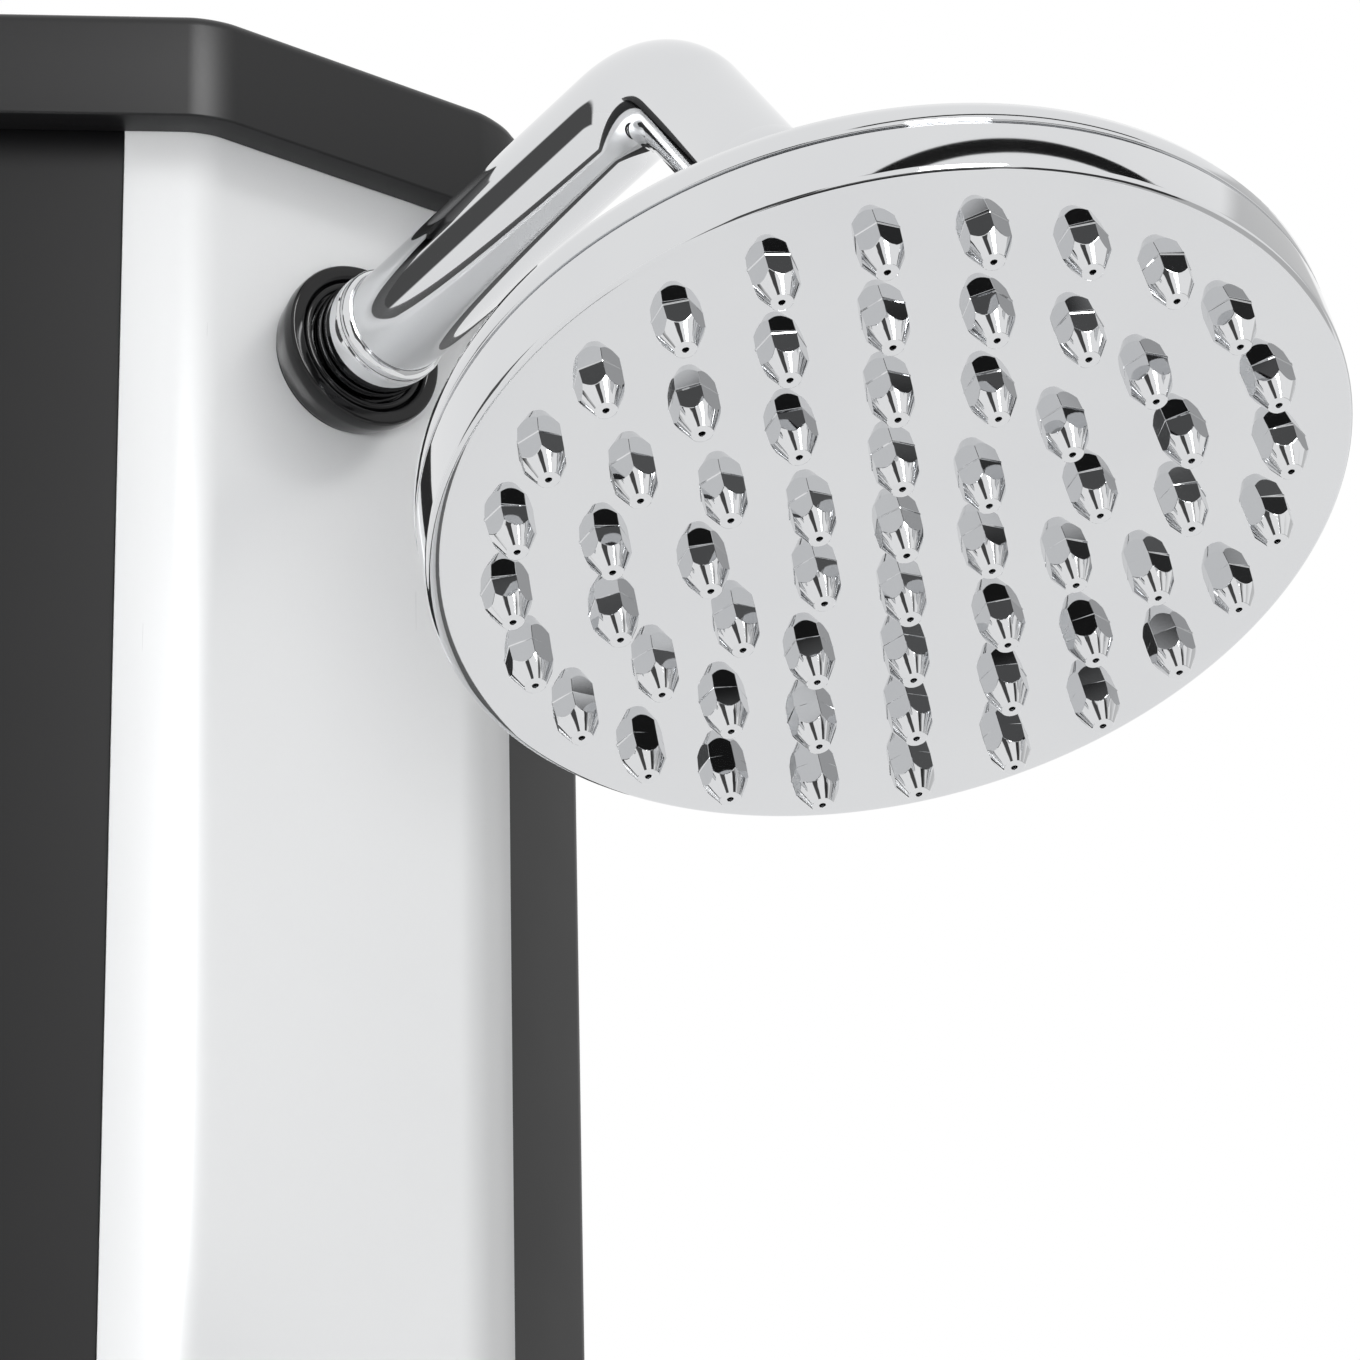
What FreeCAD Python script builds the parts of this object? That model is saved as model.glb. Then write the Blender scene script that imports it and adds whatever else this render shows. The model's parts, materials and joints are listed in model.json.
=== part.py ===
# Free-standing solar shower: a black tank column with a folded aluminium front, a bent chrome arm
# with a round tilting head, a lever mixer, a foot tap, a hose inlet and a drain.
# Millimetres, +Z up, front towards -Y, origin on the floor in the middle of the column.
import FreeCAD, Part
import math
import os
import Sketcher

DIMENSIONS = {
    # Column section seen from above, and the tank
    "overall_height": 2170.0,
    "front_width": 60.0,
    "bend_angle": 32.0,
    "tank_width": 148.0,
    "tank_depth": 127.0,
    "rear_bevel": 26.0,
    "tank_wall": 3.0,
    "fold_radius": 14.0,
    "corner_radius": 8.0,
    "plate_thickness": 6.0,
    "tank_skirt": 32.0,
    # Aluminium front
    "sheet_thickness": 1.2,
    "sheet_flange": 14.4,
    "sheet_top_gap": 4.0,
    # Top cap
    "cap_height": 22.8,
    "cap_overhang": 6.5,
    "cap_wall": 2.5,
    "cap_top": 3.0,
    "cap_lip": 2.5,
    "cap_edge_radius": 3.0,
    "cap_fold_radius": 18.0,
    "collar_depth": 12.0,
    "collar_wall": 2.0,
    "slip": 0.2,
    # Foot
    "base_width": 240.0,
    "base_depth": 220.0,
    "base_thickness": 8.0,
    "base_corner": 28.0,
    "base_edge_radius": 3.0,
    "socket_height": 42.0,
    "socket_wall": 4.0,
    "socket_gap": 0.3,
    "anchor_spacing_x": 196.0,
    "anchor_spacing_y": 176.0,
    "anchor_hole_radius": 5.0,
    "screw_height": 28.0,
    "screw_spread": 24.0,
    "screw_shank_radius": 2.0,
    "screw_head_radius": 4.0,
    "screw_head_height": 2.6,
    "screw_length": 11.0,
    # Arm and its bush
    "arm_drop": 62.4,
    "arm_radius": 10.0,
    "arm_bore": 8.2,
    "arm_tail": 16.0,
    "arm_rise": 6.0,
    "arm_rise_start": 24.0,
    "arm_rise_radius": 90.0,
    "arm_reach": 104.0,
    "arm_fall": 52.4,
    "arm_bend_radius": 25.0,
    "arm_leg": 65.7,
    "arm_gasket_thickness": 0.8,
    "bush_root_radius": 14.4,
    "bush_rim_radius": 16.2,
    "bush_length": 8.9,
    "bush_tail_radius": 12.2,
    "bush_tail_length": 14.0,
    "bush_recess": 1.7,
    "bush_bevel": 0.75,
    "bush_recess_radius": 13.4,
    "lock_ring_radius": 13.0,
    "lock_ring_height": 1.4,
    "collar_radius": 11.2,
    "collar_length": 12.0,
    "collar_groove": 0.5,
    "collar_seam": 8.9,
    "backnut_radius": 18.0,
    "backnut_length": 6.0,
    "fit_gap": 0.3,
    # Head, measured from the ball's centre along the head's axis
    "head_tilt": 17.0,
    "head_drop": 62.2,
    "head_radius": 75.4,
    "rim_radius": 1.2,
    "skirt_height": 10.4,
    "face_thickness": 3.0,
    "face_dome": 2.8,
    "skirt_wall": 2.6,
    "back_lip": 2.9,
    "back_shoulder": 9.0,
    "back_shoulder_drop": 4.6,
    "back_rise": 11.5,
    "back_wall": 2.6,
    "neck_radius": 12.0,
    "neck_bore": 5.0,
    "neck_flare": 21.0,
    "ball_radius": 9.0,
    "stem_radius": 4.5,
    "stem_length": 16.0,
    "stud_collar_radius": 10.8,
    "stud_collar_length": 6.0,
    "stud_thread_radius": 7.9,
    "stud_thread_length": 12.0,
    "stud_bore": 2.6,
    "seat_drop": 10.0,
    "seat_height": 6.5,
    "washer_drop": 13.0,
    "washer_bore": 1.5,
    "nut_radius": 16.5,
    "nut_drop": 24.0,
    "nut_top": 7.5,
    "nut_lip_radius": 8.3,
    "nut_lip_height": 4.8,
    "nozzle_pitch": 15.75,
    "nozzle_phase": 51.7,
    "nozzle_side": 4.0,
    "nozzle_collar": 2.9,
    "nozzle_height": 6.8,
    "nozzle_taper": 23.1,
    # Lever mixer
    "mixer_height": 1050.0,
    "mixer_hole_radius": 17.0,
    "mixer_body_radius": 16.5,
    "mixer_body_depth": 40.0,
    "mixer_flange_radius": 22.0,
    "mixer_flange_length": 7.0,
    "mixer_plate_radius": 27.0,
    "mixer_plate_thickness": 5.0,
    "mixer_neck_radius": 12.0,
    "mixer_pivot": 30.0,
    "mixer_dome_radius": 16.0,
    "mixer_dome_cut": 8.0,
    "mixer_well_radius": 11.0,
    "mixer_well_depth": 12.0,
    "mixer_mouth_flare": 2.4,
    "handle_radius": 20.5,
    "handle_skirt": 4.0,
    "handle_gap": 0.5,
    "lug_inner": 5.0,
    "lug_thickness": 3.0,
    "lug_width": 7.0,
    "lug_drop": 3.5,
    "pin_radius": 1.8,
    "pin_clearance": 0.06,
    "spindle_radius": 4.4,
    "spindle_depth": 18.0,
    "cartridge_depth": 20.0,
    "cartridge_radius": 10.5,
    "lever_angle": 35.0,
    "lever_radius": 5.0,
    "lever_end_radius": 4.0,
    "lever_stud_radius": 3.0,
    "lever_seat_depth": 1.2,
    "lever_length": 62.0,
    "lever_tip_radius": 6.2,
    "lever_tip_length": 14.0,
    "lever_tip_bevel": 2.0,
    # Pipes and the plane that they stand in, behind the aluminium front
    "pipe_setback": 26.0,
    "pipe_radius": 7.0,
    "pipe_bore": 5.0,
    "port_radius": 9.0,
    "port_length": 34.0,
    "hot_offset": 24.0,
    "hot_intake_gap": 45.0,
    # Foot tap
    "foot_height": 320.0,
    "foot_hole_radius": 8.4,
    "foot_flange_radius": 17.0,
    "foot_flange_thickness": 4.0,
    "foot_body_radius": 10.0,
    "foot_body_length": 40.0,
    "foot_tail_radius": 8.0,
    "foot_spout_reach": 24.0,
    "foot_spout_radius": 7.5,
    "foot_spout_drop": 24.0,
    "aerator_radius": 9.0,
    "aerator_length": 12.0,
    "knob_radius": 13.0,
    "knob_length": 16.0,
    "knob_gap": 0.6,
    "knob_wing_length": 34.0,
    "knob_wing_width": 9.0,
    "knob_wing_depth": 10.0,
    "foot_spindle_radius": 4.0,
    "foot_spindle_depth": 14.0,
    "tee_side": 24.0,
    # Hose inlet and drain on the back
    "inlet_height": 150.0,
    "inlet_hole_radius": 10.4,
    "inlet_tail_radius": 10.0,
    "inlet_flange_radius": 15.0,
    "inlet_flange_length": 6.0,
    "inlet_bore": 6.0,
    "plug_root_radius": 10.5,
    "plug_root_length": 7.0,
    "plug_neck_radius": 7.3,
    "plug_nose_radius": 8.6,
    "plug_band": 10.0,
    "plug_length": 30.0,
    "drain_height": 88.0,
    "drain_hole_radius": 8.2,
    "drain_thread_radius": 8.0,
    "drain_head_radius": 13.0,
    "drain_head_length": 9.0,
    "drain_thread_length": 9.0,
    "gasket_thickness": 1.0,
}
NOZZLE_RINGS = 4
NOZZLES_IN_FIRST_RING = 6
HEXAGON_CORNERS = 6
HALF_RIGHT_ANGLE = 45.0
TOUCH = 0.01

doc = FreeCAD.newDocument("solar_shower")
sheet = doc.addObject("Spreadsheet::Sheet", "Sizes")
for row, (alias, amount) in enumerate(DIMENSIONS.items(), start=1):
    sheet.set(f"A{row}", alias)
    sheet.set(f"B{row}", str(amount))
    sheet.setAlias(f"B{row}", alias)
doc.recompute()

NODES = []


class Size:
    """A size that knows its value now and the sheet expression that drives it."""

    def __init__(self, value, text):
        self.value = value
        self.text = text

    def __add__(self, other):
        other = as_size(other)
        return Size(self.value + other.value, f"({self.text} + {other.text})")

    def __sub__(self, other):
        other = as_size(other)
        return Size(self.value - other.value, f"({self.text} - {other.text})")

    def __mul__(self, other):
        other = as_size(other)
        return Size(self.value * other.value, f"({self.text} * {other.text})")

    def __truediv__(self, other):
        other = as_size(other)
        return Size(self.value / other.value, f"({self.text} / {other.text})")

    def __rsub__(self, other):
        return as_size(other) - self

    def __neg__(self):
        return Size(-self.value, f"(0 - {self.text})")

    __radd__ = __add__
    __rmul__ = __mul__


def as_size(amount):
    if isinstance(amount, Size):
        return amount
    return Size(float(amount), f"({float(amount)})")


def dim(alias):
    return Size(DIMENSIONS[alias], f"Sizes.{alias}")


def sine(angle):
    angle = as_size(angle)
    return Size(math.sin(math.radians(angle.value)), f"sin({angle.text})")


def cosine(angle):
    angle = as_size(angle)
    return Size(math.cos(math.radians(angle.value)), f"cos({angle.text})")


def tangent(angle):
    angle = as_size(angle)
    return Size(math.tan(math.radians(angle.value)), f"tan({angle.text})")


def square_root(amount):
    return Size(math.sqrt(amount.value), f"sqrt({amount.text})")


def bind(target, path, amount):
    target.setExpression(path, as_size(amount).text)


# Directions that a turned piece's own +Z can face
UPRIGHT = (FreeCAD.Vector(1, 0, 0), 0)
FRONT = (FreeCAD.Vector(1, 0, 0), 90)
BACK = (FreeCAD.Vector(-1, 0, 0), 90)
RIGHT = (FreeCAD.Vector(0, 1, 0), 90)
LEFT = (FreeCAD.Vector(0, -1, 0), 90)


def place(target, x=0, y=0, z=0, facing=UPRIGHT):
    axis, angle = facing
    target.Placement = FreeCAD.Placement(FreeCAD.Vector(), FreeCAD.Rotation(axis, as_size(angle).value))
    if isinstance(angle, Size):
        bind(target, "Placement.Rotation.Angle", angle)
    for letter, amount in zip("xyz", (x, y, z)):
        bind(target, f"Placement.Base.{letter}", amount)
    return target


def node(target, label):
    """Names a finished piece, which gives its file the same name."""
    target.Label = label
    NODES.append(target)
    return target


def new_body(name):
    return doc.addObject("PartDesign::Body", name)


def new_sketch(body, role, height=0):
    """A sketch on one of the body's own origin planes, moved along the plane's normal by height."""
    plane = next(feature for feature in body.Origin.OriginFeatures if feature.Role == role)
    sketch = body.newObject("Sketcher::SketchObject", body.Name + "_sketch")
    sketch.AttachmentSupport = (plane, [""])
    sketch.MapMode = "FlatFace"
    bind(sketch, "AttachmentOffset.Base.z", height)
    return sketch


def tie(sketch, geometry, point, x, y):
    """Holds one point of a sketch at x, y from the sketch's origin."""
    for kind, amount, axis in (("DistanceX", as_size(x), -2), ("DistanceY", as_size(y), -1)):
        if amount.text == "(0.0)":
            sketch.addConstraint(Sketcher.Constraint("PointOnObject", geometry, point, axis))
            continue
        number = sketch.addConstraint(Sketcher.Constraint(kind, -1, 1, geometry, point, amount.value))
        sketch.setExpression(f"Constraints[{number}]", amount.text)


def dome_arc(low, edge):
    """The arc about the sketch's upright axis from its lowest point to its edge."""
    rise = edge.y - low.y
    radius = (edge.x ** 2 + rise ** 2) / (2 * rise)
    circle = Part.Circle(FreeCAD.Vector(0, low.y + radius, 0), FreeCAD.Vector(0, 0, 1), radius)
    start = -math.pi / 2
    return Part.ArcOfCircle(circle, start, start + math.asin(edge.x / radius))


def draw_outline(sketch, points, domed=False):
    """Draws a closed outline through points whose places are sizes. Its first edge may be a dome's arc."""
    first = sketch.GeometryCount
    spots = [FreeCAD.Vector(as_size(x).value, as_size(y).value, 0) for x, y in points]
    for number, (start, end) in enumerate(zip(spots, spots[1:] + spots[:1])):
        if domed and number == 0:
            sketch.addGeometry(dome_arc(start, end), False)
            sketch.addConstraint(Sketcher.Constraint("PointOnObject", first, 3, -2))
        else:
            sketch.addGeometry(Part.LineSegment(start, end), False)
    for number, (x, y) in enumerate(points):
        following = first + (number + 1) % len(points)
        sketch.addConstraint(Sketcher.Constraint("Coincident", first + number, 2, following, 1))
        tie(sketch, first + number, 1, x, y)


def draw_circle(sketch, x, y, radius):
    centre = FreeCAD.Vector(as_size(x).value, as_size(y).value, 0)
    circle = Part.Circle(centre, FreeCAD.Vector(0, 0, 1), as_size(radius).value)
    number = sketch.addGeometry(circle, False)
    tie(sketch, number, 3, x, y)
    constraint = sketch.addConstraint(Sketcher.Constraint("Radius", number, as_size(radius).value))
    sketch.setExpression(f"Constraints[{constraint}]", as_size(radius).text)


def pad(body, sketch, length, down=False):
    feature = body.newObject("PartDesign::Pad", body.Name + "_pad")
    feature.Profile = sketch
    bind(feature, "Length", length)
    feature.Reversed = down
    doc.recompute()
    return feature


def round_edges(body, radius, wanted):
    """Rounds the edges of the body's last feature for which wanted(edge) is true."""
    base = body.Tip
    names = [f"Edge{i}" for i, edge in enumerate(base.Shape.Edges, start=1) if wanted(edge)]
    feature = body.newObject("PartDesign::Fillet", body.Name + "_fillet")
    feature.Base = (base, names)
    bind(feature, "Radius", radius)
    doc.recompute()
    return feature


def is_upright(edge):
    box = edge.BoundBox
    return box.ZLength > TOUCH and box.XLength < TOUCH and box.YLength < TOUCH


def lies_at(edge, height):
    """True for an edge that lies level at the height."""
    return edge.BoundBox.ZMin > height.value - TOUCH


def turned(label, profile, facing=UPRIGHT, x=0, y=0, z=0, domed=False):
    """A piece turned from a profile of (radius, height) points about its own +Z axis."""
    body = new_body(label)
    sketch = new_sketch(body, "XZ_Plane")
    draw_outline(sketch, profile, domed)
    feature = body.newObject("PartDesign::Revolution", label + "_turn")
    feature.Profile = sketch
    feature.ReferenceAxis = (sketch, ["V_Axis"])
    feature.Angle = 360
    place(body, x, y, z, facing)
    return body


def sleeve(label, outer, inner, bottom, top, **where):
    """A plain ring or tube from bottom to top along its own axis."""
    return turned(label, [(inner, bottom), (outer, bottom), (outer, top), (inner, top)], **where)


def rod(name, radius, length, x=0, y=0, z=0, facing=UPRIGHT):
    cylinder = doc.addObject("Part::Cylinder", name)
    bind(cylinder, "Radius", radius)
    bind(cylinder, "Height", length)
    return place(cylinder, x, y, z, facing)


def ball(name, radius, x=0, y=0, z=0):
    sphere = doc.addObject("Part::Sphere", name)
    bind(sphere, "Radius", radius)
    return place(sphere, x, y, z)


def block(name, width, depth, height, x=0, y=0, z=0):
    """A box with the middle of its underside at x, y, z."""
    box = doc.addObject("Part::Box", name)
    for path, amount in (("Length", width), ("Width", depth), ("Height", height)):
        bind(box, path, amount)
    return place(box, as_size(x) - as_size(width) / 2, as_size(y) - as_size(depth) / 2, z)


def joined(name, pieces):
    union = doc.addObject("Part::MultiFuse", name)
    union.Shapes = pieces
    union.Refine = True
    return union


def drilled(name, blank, tools):
    """The blank with every tool cut out of it."""
    cut = doc.addObject("Part::Cut", name)
    cut.Base = blank
    cut.Tool = tools[0] if len(tools) == 1 else joined(name + "_tools", tools)
    return cut


# Shared places and sizes
WALL = dim("tank_wall")
SHEET = dim("sheet_thickness")
GASKET = dim("gasket_thickness")
GAP = dim("fit_gap")
FRONT_FACE = -(dim("tank_depth") / 2) - SHEET
BACK_FACE = dim("tank_depth") / 2
ARM_HEIGHT = dim("overall_height") - dim("arm_drop")
FLOOR = dim("base_thickness")
TANK_TOP = dim("overall_height") - dim("cap_top")
PIPE_PLANE = FRONT_FACE + dim("pipe_setback")
SKIN = SHEET + WALL


def section(offset):
    """Corners of the column's section moved outwards by offset, from the front's right fold round."""
    offset = as_size(offset)
    half_front = dim("front_width") / 2 + offset * tangent(dim("bend_angle") / 2)
    half_width = dim("tank_width") / 2 + offset
    front = -(dim("tank_depth") / 2) - offset
    shoulder = front + (half_width - half_front) * tangent(dim("bend_angle"))
    bevel = dim("rear_bevel") - offset * tangent(HALF_RIGHT_ANGLE / 2)
    right_side = [
        (half_front, front),
        (half_width, shoulder),
        (half_width, dim("tank_depth") / 2 - bevel),
        (dim("tank_width") / 2 - bevel, dim("tank_depth") / 2 + offset),
    ]
    left_side = [(-x, y) for x, y in reversed(right_side)]
    return right_side + left_side


def stands_at(edge, corners):
    """True for an upright edge that stands on one of the corners."""
    middle = edge.CenterOfMass
    near = [math.hypot(x.value - middle.x, y.value - middle.y) < TOUCH for x, y in corners]
    return is_upright(edge) and any(near)


def prism(label, outlines, height, z):
    """An upright prism whose section lies between the outlines."""
    body = new_body(label)
    sketch = new_sketch(body, "XY_Plane")
    for outline in outlines:
        draw_outline(sketch, outline)
    pad(body, sketch, height)
    place(body, z=z)
    return body


def side_screw_places():
    """Places of the foot's four screws: direction, outward face and depth position."""
    face = dim("tank_width") / 2 + SHEET + dim("socket_gap") + dim("socket_wall")
    for facing, side in ((RIGHT, 1), (LEFT, -1)):
        for depth in (-1, 1):
            yield facing, face * side, dim("screw_spread") * depth


def screw_holes(name, clearance):
    length = dim("screw_length") + GAP
    holes = []
    for facing, face, depth in side_screw_places():
        inward = LEFT if facing is RIGHT else RIGHT
        holes.append(rod(name, dim("screw_shank_radius") + clearance, length,
                         face, depth, dim("screw_height"), inward))
    return holes


def make_foot():
    """The floor plate with its socket, and the screws that hold the column in it."""
    body = new_body("base_blank")
    plate = new_sketch(body, "XY_Plane")
    half_x = dim("base_width") / 2
    half_y = dim("base_depth") / 2
    draw_outline(plate, [(-half_x, -half_y), (half_x, -half_y), (half_x, half_y), (-half_x, half_y)])
    pad(body, plate, FLOOR)
    round_edges(body, dim("base_corner"), is_upright)
    round_edges(body, dim("base_edge_radius"), lambda edge: lies_at(edge, FLOOR))
    socket = new_sketch(body, "XY_Plane", FLOOR - SHEET)
    inner = SHEET + dim("socket_gap")
    draw_outline(socket, section(inner + dim("socket_wall")))
    draw_outline(socket, section(inner))
    pad(body, socket, dim("socket_height") + SHEET)
    holes = screw_holes("base_screw_hole", dim("slip"))
    for side_x in (-1, 1):
        for side_y in (-1, 1):
            x = dim("anchor_spacing_x") / 2 * side_x
            y = dim("anchor_spacing_y") / 2 * side_y
            holes.append(rod("anchor_hole", dim("anchor_hole_radius"), FLOOR * 2, x, y, -FLOOR / 2))
    node(drilled("base_foot", body, holes), "base_foot")

    screws = []
    for facing, face, depth in side_screw_places():
        inward = LEFT if facing is RIGHT else RIGHT
        head = rod("screw_head", dim("screw_head_radius"), dim("screw_head_height"), face, depth,
                   dim("screw_height"), facing)
        shank = rod("screw_shank", dim("screw_shank_radius"), dim("screw_length"), face, depth,
                    dim("screw_height"), inward)
        screws.append(joined("base_screw", [head, shank]))
    group = doc.addObject("Part::Compound", "base_screws")
    group.Links = screws
    node(group, "base_screws")


def front_hole(name, radius, height):
    """A drill through the aluminium and the tank's front wall."""
    return rod(name, radius, SKIN * 2, 0, FRONT_FACE + SKIN * 1.5, height, FRONT)


def front_holes(clearance):
    return [
        front_hole("arm_hole", dim("bush_tail_radius") + clearance, ARM_HEIGHT),
        front_hole("mixer_hole", dim("mixer_hole_radius") + clearance, dim("mixer_height")),
        front_hole("foot_hole", dim("foot_hole_radius") + clearance, dim("foot_height")),
    ]


def make_tank():
    """The black tank: a hollow column, closed by a bottom and a top plate."""
    body = new_body("tank_blank")
    sketch = new_sketch(body, "XY_Plane")
    draw_outline(sketch, section(0))
    draw_outline(sketch, section(-WALL))
    pad(body, sketch, TANK_TOP - FLOOR)
    corners = section(0)
    folds = [corners[0], corners[-1]]
    round_edges(body, dim("fold_radius"), lambda edge: stands_at(edge, folds))
    round_edges(body, dim("corner_radius"), lambda edge: stands_at(edge, corners[1:-1]))
    place(body, z=FLOOR)
    holes = front_holes(dim("slip")) + screw_holes("tank_screw_hole", dim("slip"))
    for name in ("inlet", "drain"):
        holes.append(rod(name + "_hole", dim(name + "_hole_radius"), WALL * 3, 0, BACK_FACE - WALL * 2,
                         dim(name + "_height"), BACK))
    node(drilled("tank_shell", body, holes), "tank_shell")

    plate = dim("plate_thickness")
    node(prism("tank_bottom", [section(-WALL)], plate, FLOOR + dim("tank_skirt")), "tank_bottom")
    top = TANK_TOP - dim("collar_depth") - GAP - plate
    node(prism("tank_top", [section(-WALL)], plate, top), "tank_top")


def make_front():
    """The aluminium front: one sheet folded round the tank's three front facets."""
    body = new_body("front_blank")
    sketch = new_sketch(body, "XY_Plane")
    along_x = dim("sheet_flange") * cosine(dim("bend_angle"))
    along_y = dim("sheet_flange") * sine(dim("bend_angle"))
    outer_x, outer_y = section(SHEET)[0]
    inner_x, inner_y = section(0)[0]
    edge_x = inner_x + along_x
    edge_y = inner_y + along_y
    lip_x = edge_x + SHEET * sine(dim("bend_angle"))
    lip_y = edge_y - SHEET * cosine(dim("bend_angle"))
    right = [(outer_x, outer_y), (lip_x, lip_y), (edge_x, edge_y), (inner_x, inner_y)]
    left = [(-x, y) for x, y in reversed(right)]
    draw_outline(sketch, right + left)
    pad(body, sketch, TANK_TOP - dim("sheet_top_gap") - FLOOR)
    inner_folds = [right[-1], left[0]]
    outer_folds = [right[0], left[-1]]
    round_edges(body, dim("fold_radius"), lambda edge: stands_at(edge, inner_folds))
    round_edges(body, dim("fold_radius") + SHEET, lambda edge: stands_at(edge, outer_folds))
    place(body, z=FLOOR)
    node(drilled("aluminium_front", body, front_holes(dim("slip"))), "aluminium_front")


def hollow_out(body, name, sketch, depth):
    """Cuts a sketch upwards into a body."""
    pocket = body.newObject("PartDesign::Pocket", name)
    pocket.Profile = sketch
    pocket.Reversed = True
    bind(pocket, "Length", depth)
    doc.recompute()


def make_cap():
    """The top cap: a lid with an overhanging skirt, a lip round the column and a collar inside the tank."""
    body = new_body("top_cap")
    outer = SHEET + dim("cap_overhang")
    sketch = new_sketch(body, "XY_Plane")
    draw_outline(sketch, section(outer))
    pad(body, sketch, dim("cap_height"))
    round_edges(body, dim("cap_fold_radius"), is_upright)
    round_edges(body, dim("cap_edge_radius"), lambda edge: lies_at(edge, dim("cap_height")))
    inside = dim("cap_height") - dim("cap_top")
    opening = new_sketch(body, "XY_Plane")
    draw_outline(opening, section(SHEET + GAP))
    hollow_out(body, "cap_opening", opening, inside)
    hollow = new_sketch(body, "XY_Plane", dim("cap_lip"))
    draw_outline(hollow, section(outer - dim("cap_wall")))
    hollow_out(body, "cap_hollow", hollow, inside - dim("cap_lip"))
    collar = new_sketch(body, "XY_Plane", inside)
    draw_outline(collar, section(-WALL - dim("slip")))
    draw_outline(collar, section(-WALL - dim("slip") - dim("collar_wall")))
    pad(body, collar, dim("collar_depth"), down=True)
    place(body, z=dim("overall_height") - dim("cap_height"))
    node(body, "top_cap")


def front_piece(label, profile, height):
    """A turned piece on the front, measured outwards from the aluminium's face."""
    return node(turned(label, profile, FRONT, 0, FRONT_FACE, height), label)


def make_arm_mount():
    """The black bush with its ring, gasket and back nut, the chrome collar and the inner elbow."""
    arm = dim("arm_radius")
    pad_top = dim("arm_gasket_thickness")
    tail = dim("bush_tail_radius")
    root = dim("bush_root_radius")
    rim = dim("bush_rim_radius")
    length = dim("bush_length")
    bore = arm + GAP
    floor = length - dim("bush_recess")
    recess = dim("bush_recess_radius")
    gasket_edge = root - GAP
    front_piece("arm_gasket", [
        (tail + GAP, 0), (gasket_edge, 0), (gasket_edge, pad_top), (tail + GAP, pad_top)], ARM_HEIGHT)
    bevel = dim("bush_bevel")
    front_piece("arm_bush", [
        (bore, -dim("bush_tail_length")), (tail, -dim("bush_tail_length")), (tail, pad_top), (root, pad_top),
        (rim, floor - bevel), (rim, length - bevel), (rim - bevel, length), (recess + GAP, length),
        (recess + GAP, floor), (bore, floor)], ARM_HEIGHT)
    ring = dim("lock_ring_radius")
    ring_top = floor + dim("lock_ring_height")
    collar = dim("collar_radius")
    front_piece("arm_lock_ring", [
        (collar + GAP, floor), (ring, floor), (ring, ring_top - bevel), (ring - bevel, ring_top),
        (collar + GAP, ring_top)], ARM_HEIGHT)
    end = floor + dim("collar_length")
    groove = dim("collar_groove")
    seam = floor + dim("collar_seam")
    front_piece("arm_collar", [
        (arm, floor), (collar, floor), (collar, seam), (collar - groove, seam),
        (collar - groove, seam + groove), (collar, seam + groove), (collar, end - groove),
        (collar - groove, end), (arm, end)], ARM_HEIGHT)
    nut = dim("backnut_radius")
    nut_end = SKIN + dim("backnut_length")
    front_piece("arm_backnut", [(tail, -nut_end), (nut, -nut_end), (nut, -SKIN), (tail, -SKIN)], ARM_HEIGHT)

    setback = dim("pipe_setback")
    port = dim("port_radius")
    bore = dim("pipe_bore")
    drop = dim("port_length") / 2
    start = FRONT_FACE + dim("arm_tail")
    reach = setback - dim("arm_tail")
    hub = rod("elbow_hub", arm + WALL, reach + port, 0, start, ARM_HEIGHT, BACK)
    leg = rod("elbow_port", port, drop, 0, PIPE_PLANE, ARM_HEIGHT - drop)
    down_bore = rod("elbow_down_bore", bore, drop, 0, PIPE_PLANE, ARM_HEIGHT - drop)
    across_bore = rod("elbow_across_bore", bore, reach + bore, 0, start, ARM_HEIGHT, BACK)
    node(drilled("arm_elbow", joined("elbow_blank", [hub, leg]), [down_bore, across_bore]), "arm_elbow")


def arm_bend():
    """Where the arm's two straight legs meet, from the bush's centre: outwards and upwards."""
    rise = (dim("arm_reach") - dim("arm_rise_start")) * tangent(dim("arm_rise"))
    return dim("arm_reach"), rise


def ball_place():
    """The head joint's ball centre in the shower's frame, as y and z."""
    out, up = arm_bend()
    y = FRONT_FACE - out - dim("arm_leg") * cosine(dim("arm_fall"))
    z = ARM_HEIGHT + up - dim("arm_leg") * sine(dim("arm_fall"))
    return y, z


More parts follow.
